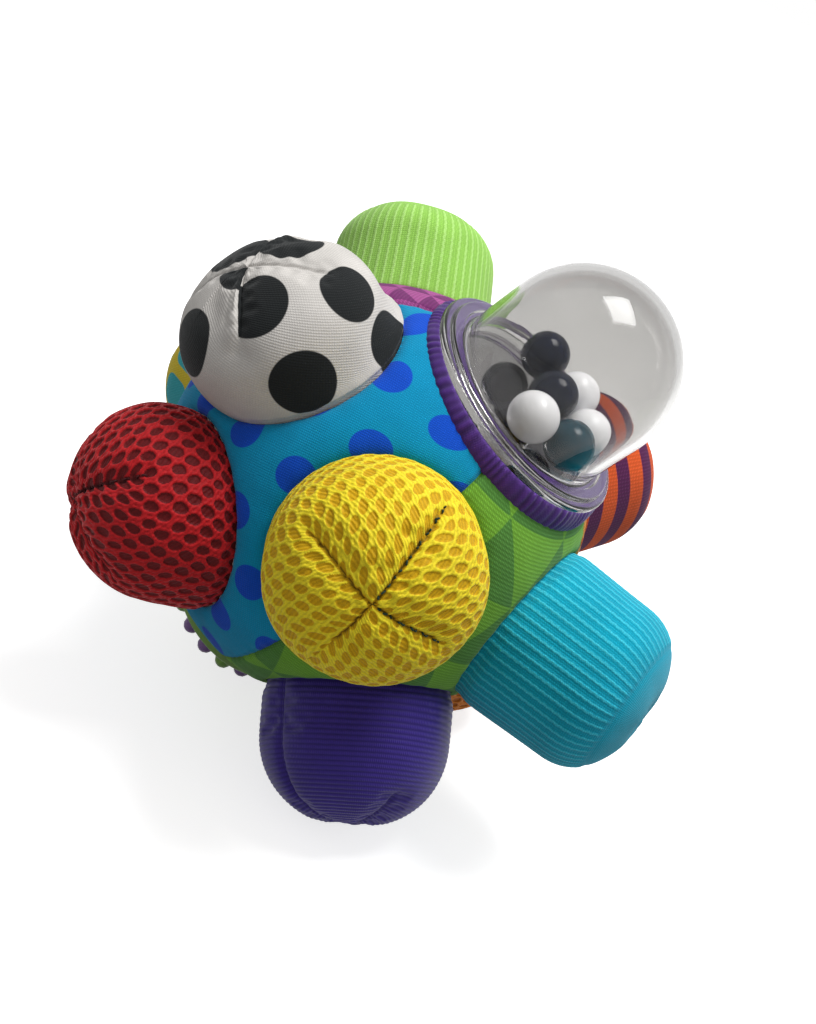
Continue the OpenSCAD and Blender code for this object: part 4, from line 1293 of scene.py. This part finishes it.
def stitches(knob, material, darts):
    """Bows of thread along darts: tubes on a low arch, thinner to their ends, each closed by two poles."""
    grid = mesh_grids[knob]
    rows, columns = grid["left"].shape
    ends = KNOBS[knob][6]
    places = [[(at, k) for at in np.arange(STITCH_FROM, ends[k] - STITCH_TO, STITCH_STEP)] for k in darts]
    left, dart = np.concatenate(places).T
    count = np.arange(len(left))
    left = left + 0.35 * np.sin(2.9 * count)
    row = np.interp(left, grid["left"][::-1, 0], np.arange(rows)[::-1]).round().astype(int)
    column = (dart * columns // 4).astype(int)
    place, up = grid["world"][row, column], grid["normals"][row, column]
    along = grid["world"][np.maximum(row - 3, 0), column] - place
    along /= np.linalg.norm(along, axis=1, keepdims=True)
    slant = (0.7 * np.sin(2.4 * count))[:, None]
    way = along + slant * np.cross(up, along)
    way /= np.linalg.norm(way, axis=1, keepdims=True)
    other = np.cross(up, way)
    size = (0.8 + 0.3 * np.sin(1.7 * count))[:, None, None]
    t = np.linspace(-1, 1, STITCH_ROWS + 2)[None, :, None]
    spine = (place[:, None] + size * STITCH_LENGTH / 2 * MM * t * way[:, None]
             + STITCH_RISE * (1 - t ** 2) * MM * up[:, None])
    angle = (np.arange(STITCH_COLUMNS) * 2 * np.pi / STITCH_COLUMNS)[None, None, :, None]
    thick = STITCH_R * MM * np.sqrt(1 - t[:, 1:-1, :, None] ** 4)
    round_spine = np.cos(angle) * other[:, None, None] + np.sin(angle) * up[:, None, None]
    rings = spine[:, 1:-1, None] + thick * round_spine
    points = np.concatenate([rings.reshape(len(row), -1, 3), spine[:, :1], spine[:, -1:]], 1)
    thread = many(knob + "_stitches", points, STITCH_ROWS, STITCH_COLUMNS)
    thread.data.materials.append(material)
    return len(row)


for knob, (colour, darts) in THREADS.items():
    # Spun polyester thread: matt and a little uneven
    thread = gloss_material(knob + "_thread", colour, 0.7, mottle=0.15, specular=0.2)
    print(knob, "stitches", stitches(knob, thread, darts))

# %% [markdown]
# The toy stands on a plain pale floor before a white background, in soft light from a window on the right.
# The floor's finish gives the camera white with the toy's shadow in it, while the light that it throws back
# up stays low, as it does from a table.

# %% Floor and world
FLOOR_HALF, FLOOR_GLOW, ROOM_LIGHT = 40.0, 0.72, 0.45
scene = bpy.context.scene
scene.view_settings.view_transform = "Standard"


def seen_directly(tree):
    """1 for rays from the camera, from gloss and through clear things, and 0 for rays that light the toy."""
    path = add(tree, "ShaderNodeLightPath")
    direct = path.outputs["Is Camera Ray"]
    for kind in ("Is Glossy Ray", "Is Transmission Ray"):
        direct = add(tree, "ShaderNodeMath", {"operation": "MAXIMUM"}, {0: direct, 1: path.outputs[kind]})
    return direct


world = bpy.data.worlds.new("studio")
world.use_nodes = True
tree = world.node_tree
tree.nodes.clear()
soft = add(tree, "ShaderNodeBackground", {}, {"Color": linear("#ffffff"), "Strength": ROOM_LIGHT})
white = add(tree, "ShaderNodeBackground", {}, {"Color": linear("#ffffff"), "Strength": 1.0})
both = add(tree, "ShaderNodeMixShader", {}, {0: seen_directly(tree), 1: soft.outputs[0], 2: white.outputs[0]})
add(tree, "ShaderNodeOutputWorld", {}, {"Surface": both})
scene.world = world

corners = FLOOR_HALF * np.array([[-1, -1, 0], [1, -1, 0], [1, 1, 0], [-1, 1, 0]])
floor_mesh = bpy.data.meshes.new("floor")
floor_mesh.from_pydata(corners.tolist(), [], [(0, 1, 2, 3)])
floor = bpy.data.objects.new("floor", floor_mesh)
scene.collection.objects.link(floor)
# Matt white paint
material, tree, out = new_material("white_table")
paint = add(tree, "ShaderNodeBsdfDiffuse", {}, {"Color": linear("#d8d8d8")})
glow = add(tree, "ShaderNodeEmission", {}, {"Color": linear("#ffffff"), "Strength": FLOOR_GLOW})
lit = add(tree, "ShaderNodeAddShader", {}, {0: paint, 1: glow})
dim = add(tree, "ShaderNodeBsdfDiffuse", {}, {"Color": linear("#8c8c8c")})
both = add(tree, "ShaderNodeMixShader", {}, {0: seen_directly(tree), 1: dim.outputs[0], 2: lit.outputs[0]})
tree.links.new(both.outputs[0], out.inputs["Surface"])
floor_mesh.materials.append(material)
print("floor", 2 * FLOOR_HALF, "m wide")

# %% [markdown]
# The window is one rectangular lamp. Its place is given as the camera sees it, right of, above and in front
# of the ball, so that the gloss lies where a window's reflection would be.

# %% Window light
# Metres right, up and towards the camera from the ball, the lamp's size in metres and its watts
WINDOW_WAY, WINDOW_SIZE, WINDOW_POWER = (0.55, 0.75, 0.35), (0.5, 0.4), 9.5


def area_light(name, place, size, power, aimed_at):
    """A rectangular lamp at a place in metres, facing a point."""
    data = bpy.data.lights.new(name, "AREA")
    data.shape, data.size, data.size_y, data.energy = "RECTANGLE", size[0], size[1], power
    lamp = bpy.data.objects.new(name, data)
    away = np.array(place) - aimed_at
    away = away / np.linalg.norm(away)
    level = np.cross([0, 0, 1], away)
    level /= np.linalg.norm(level)
    pose = np.eye(4)
    pose[:3, :3] = np.column_stack([level, np.cross(away, level), away])
    pose[:3, 3] = place
    lamp.matrix_world = pose.T
    scene.collection.objects.link(lamp)


window_at = crossing + camera_axes @ WINDOW_WAY
area_light("window", window_at, WINDOW_SIZE, WINDOW_POWER, crossing)
print("window in m", np.round(window_at, 2))
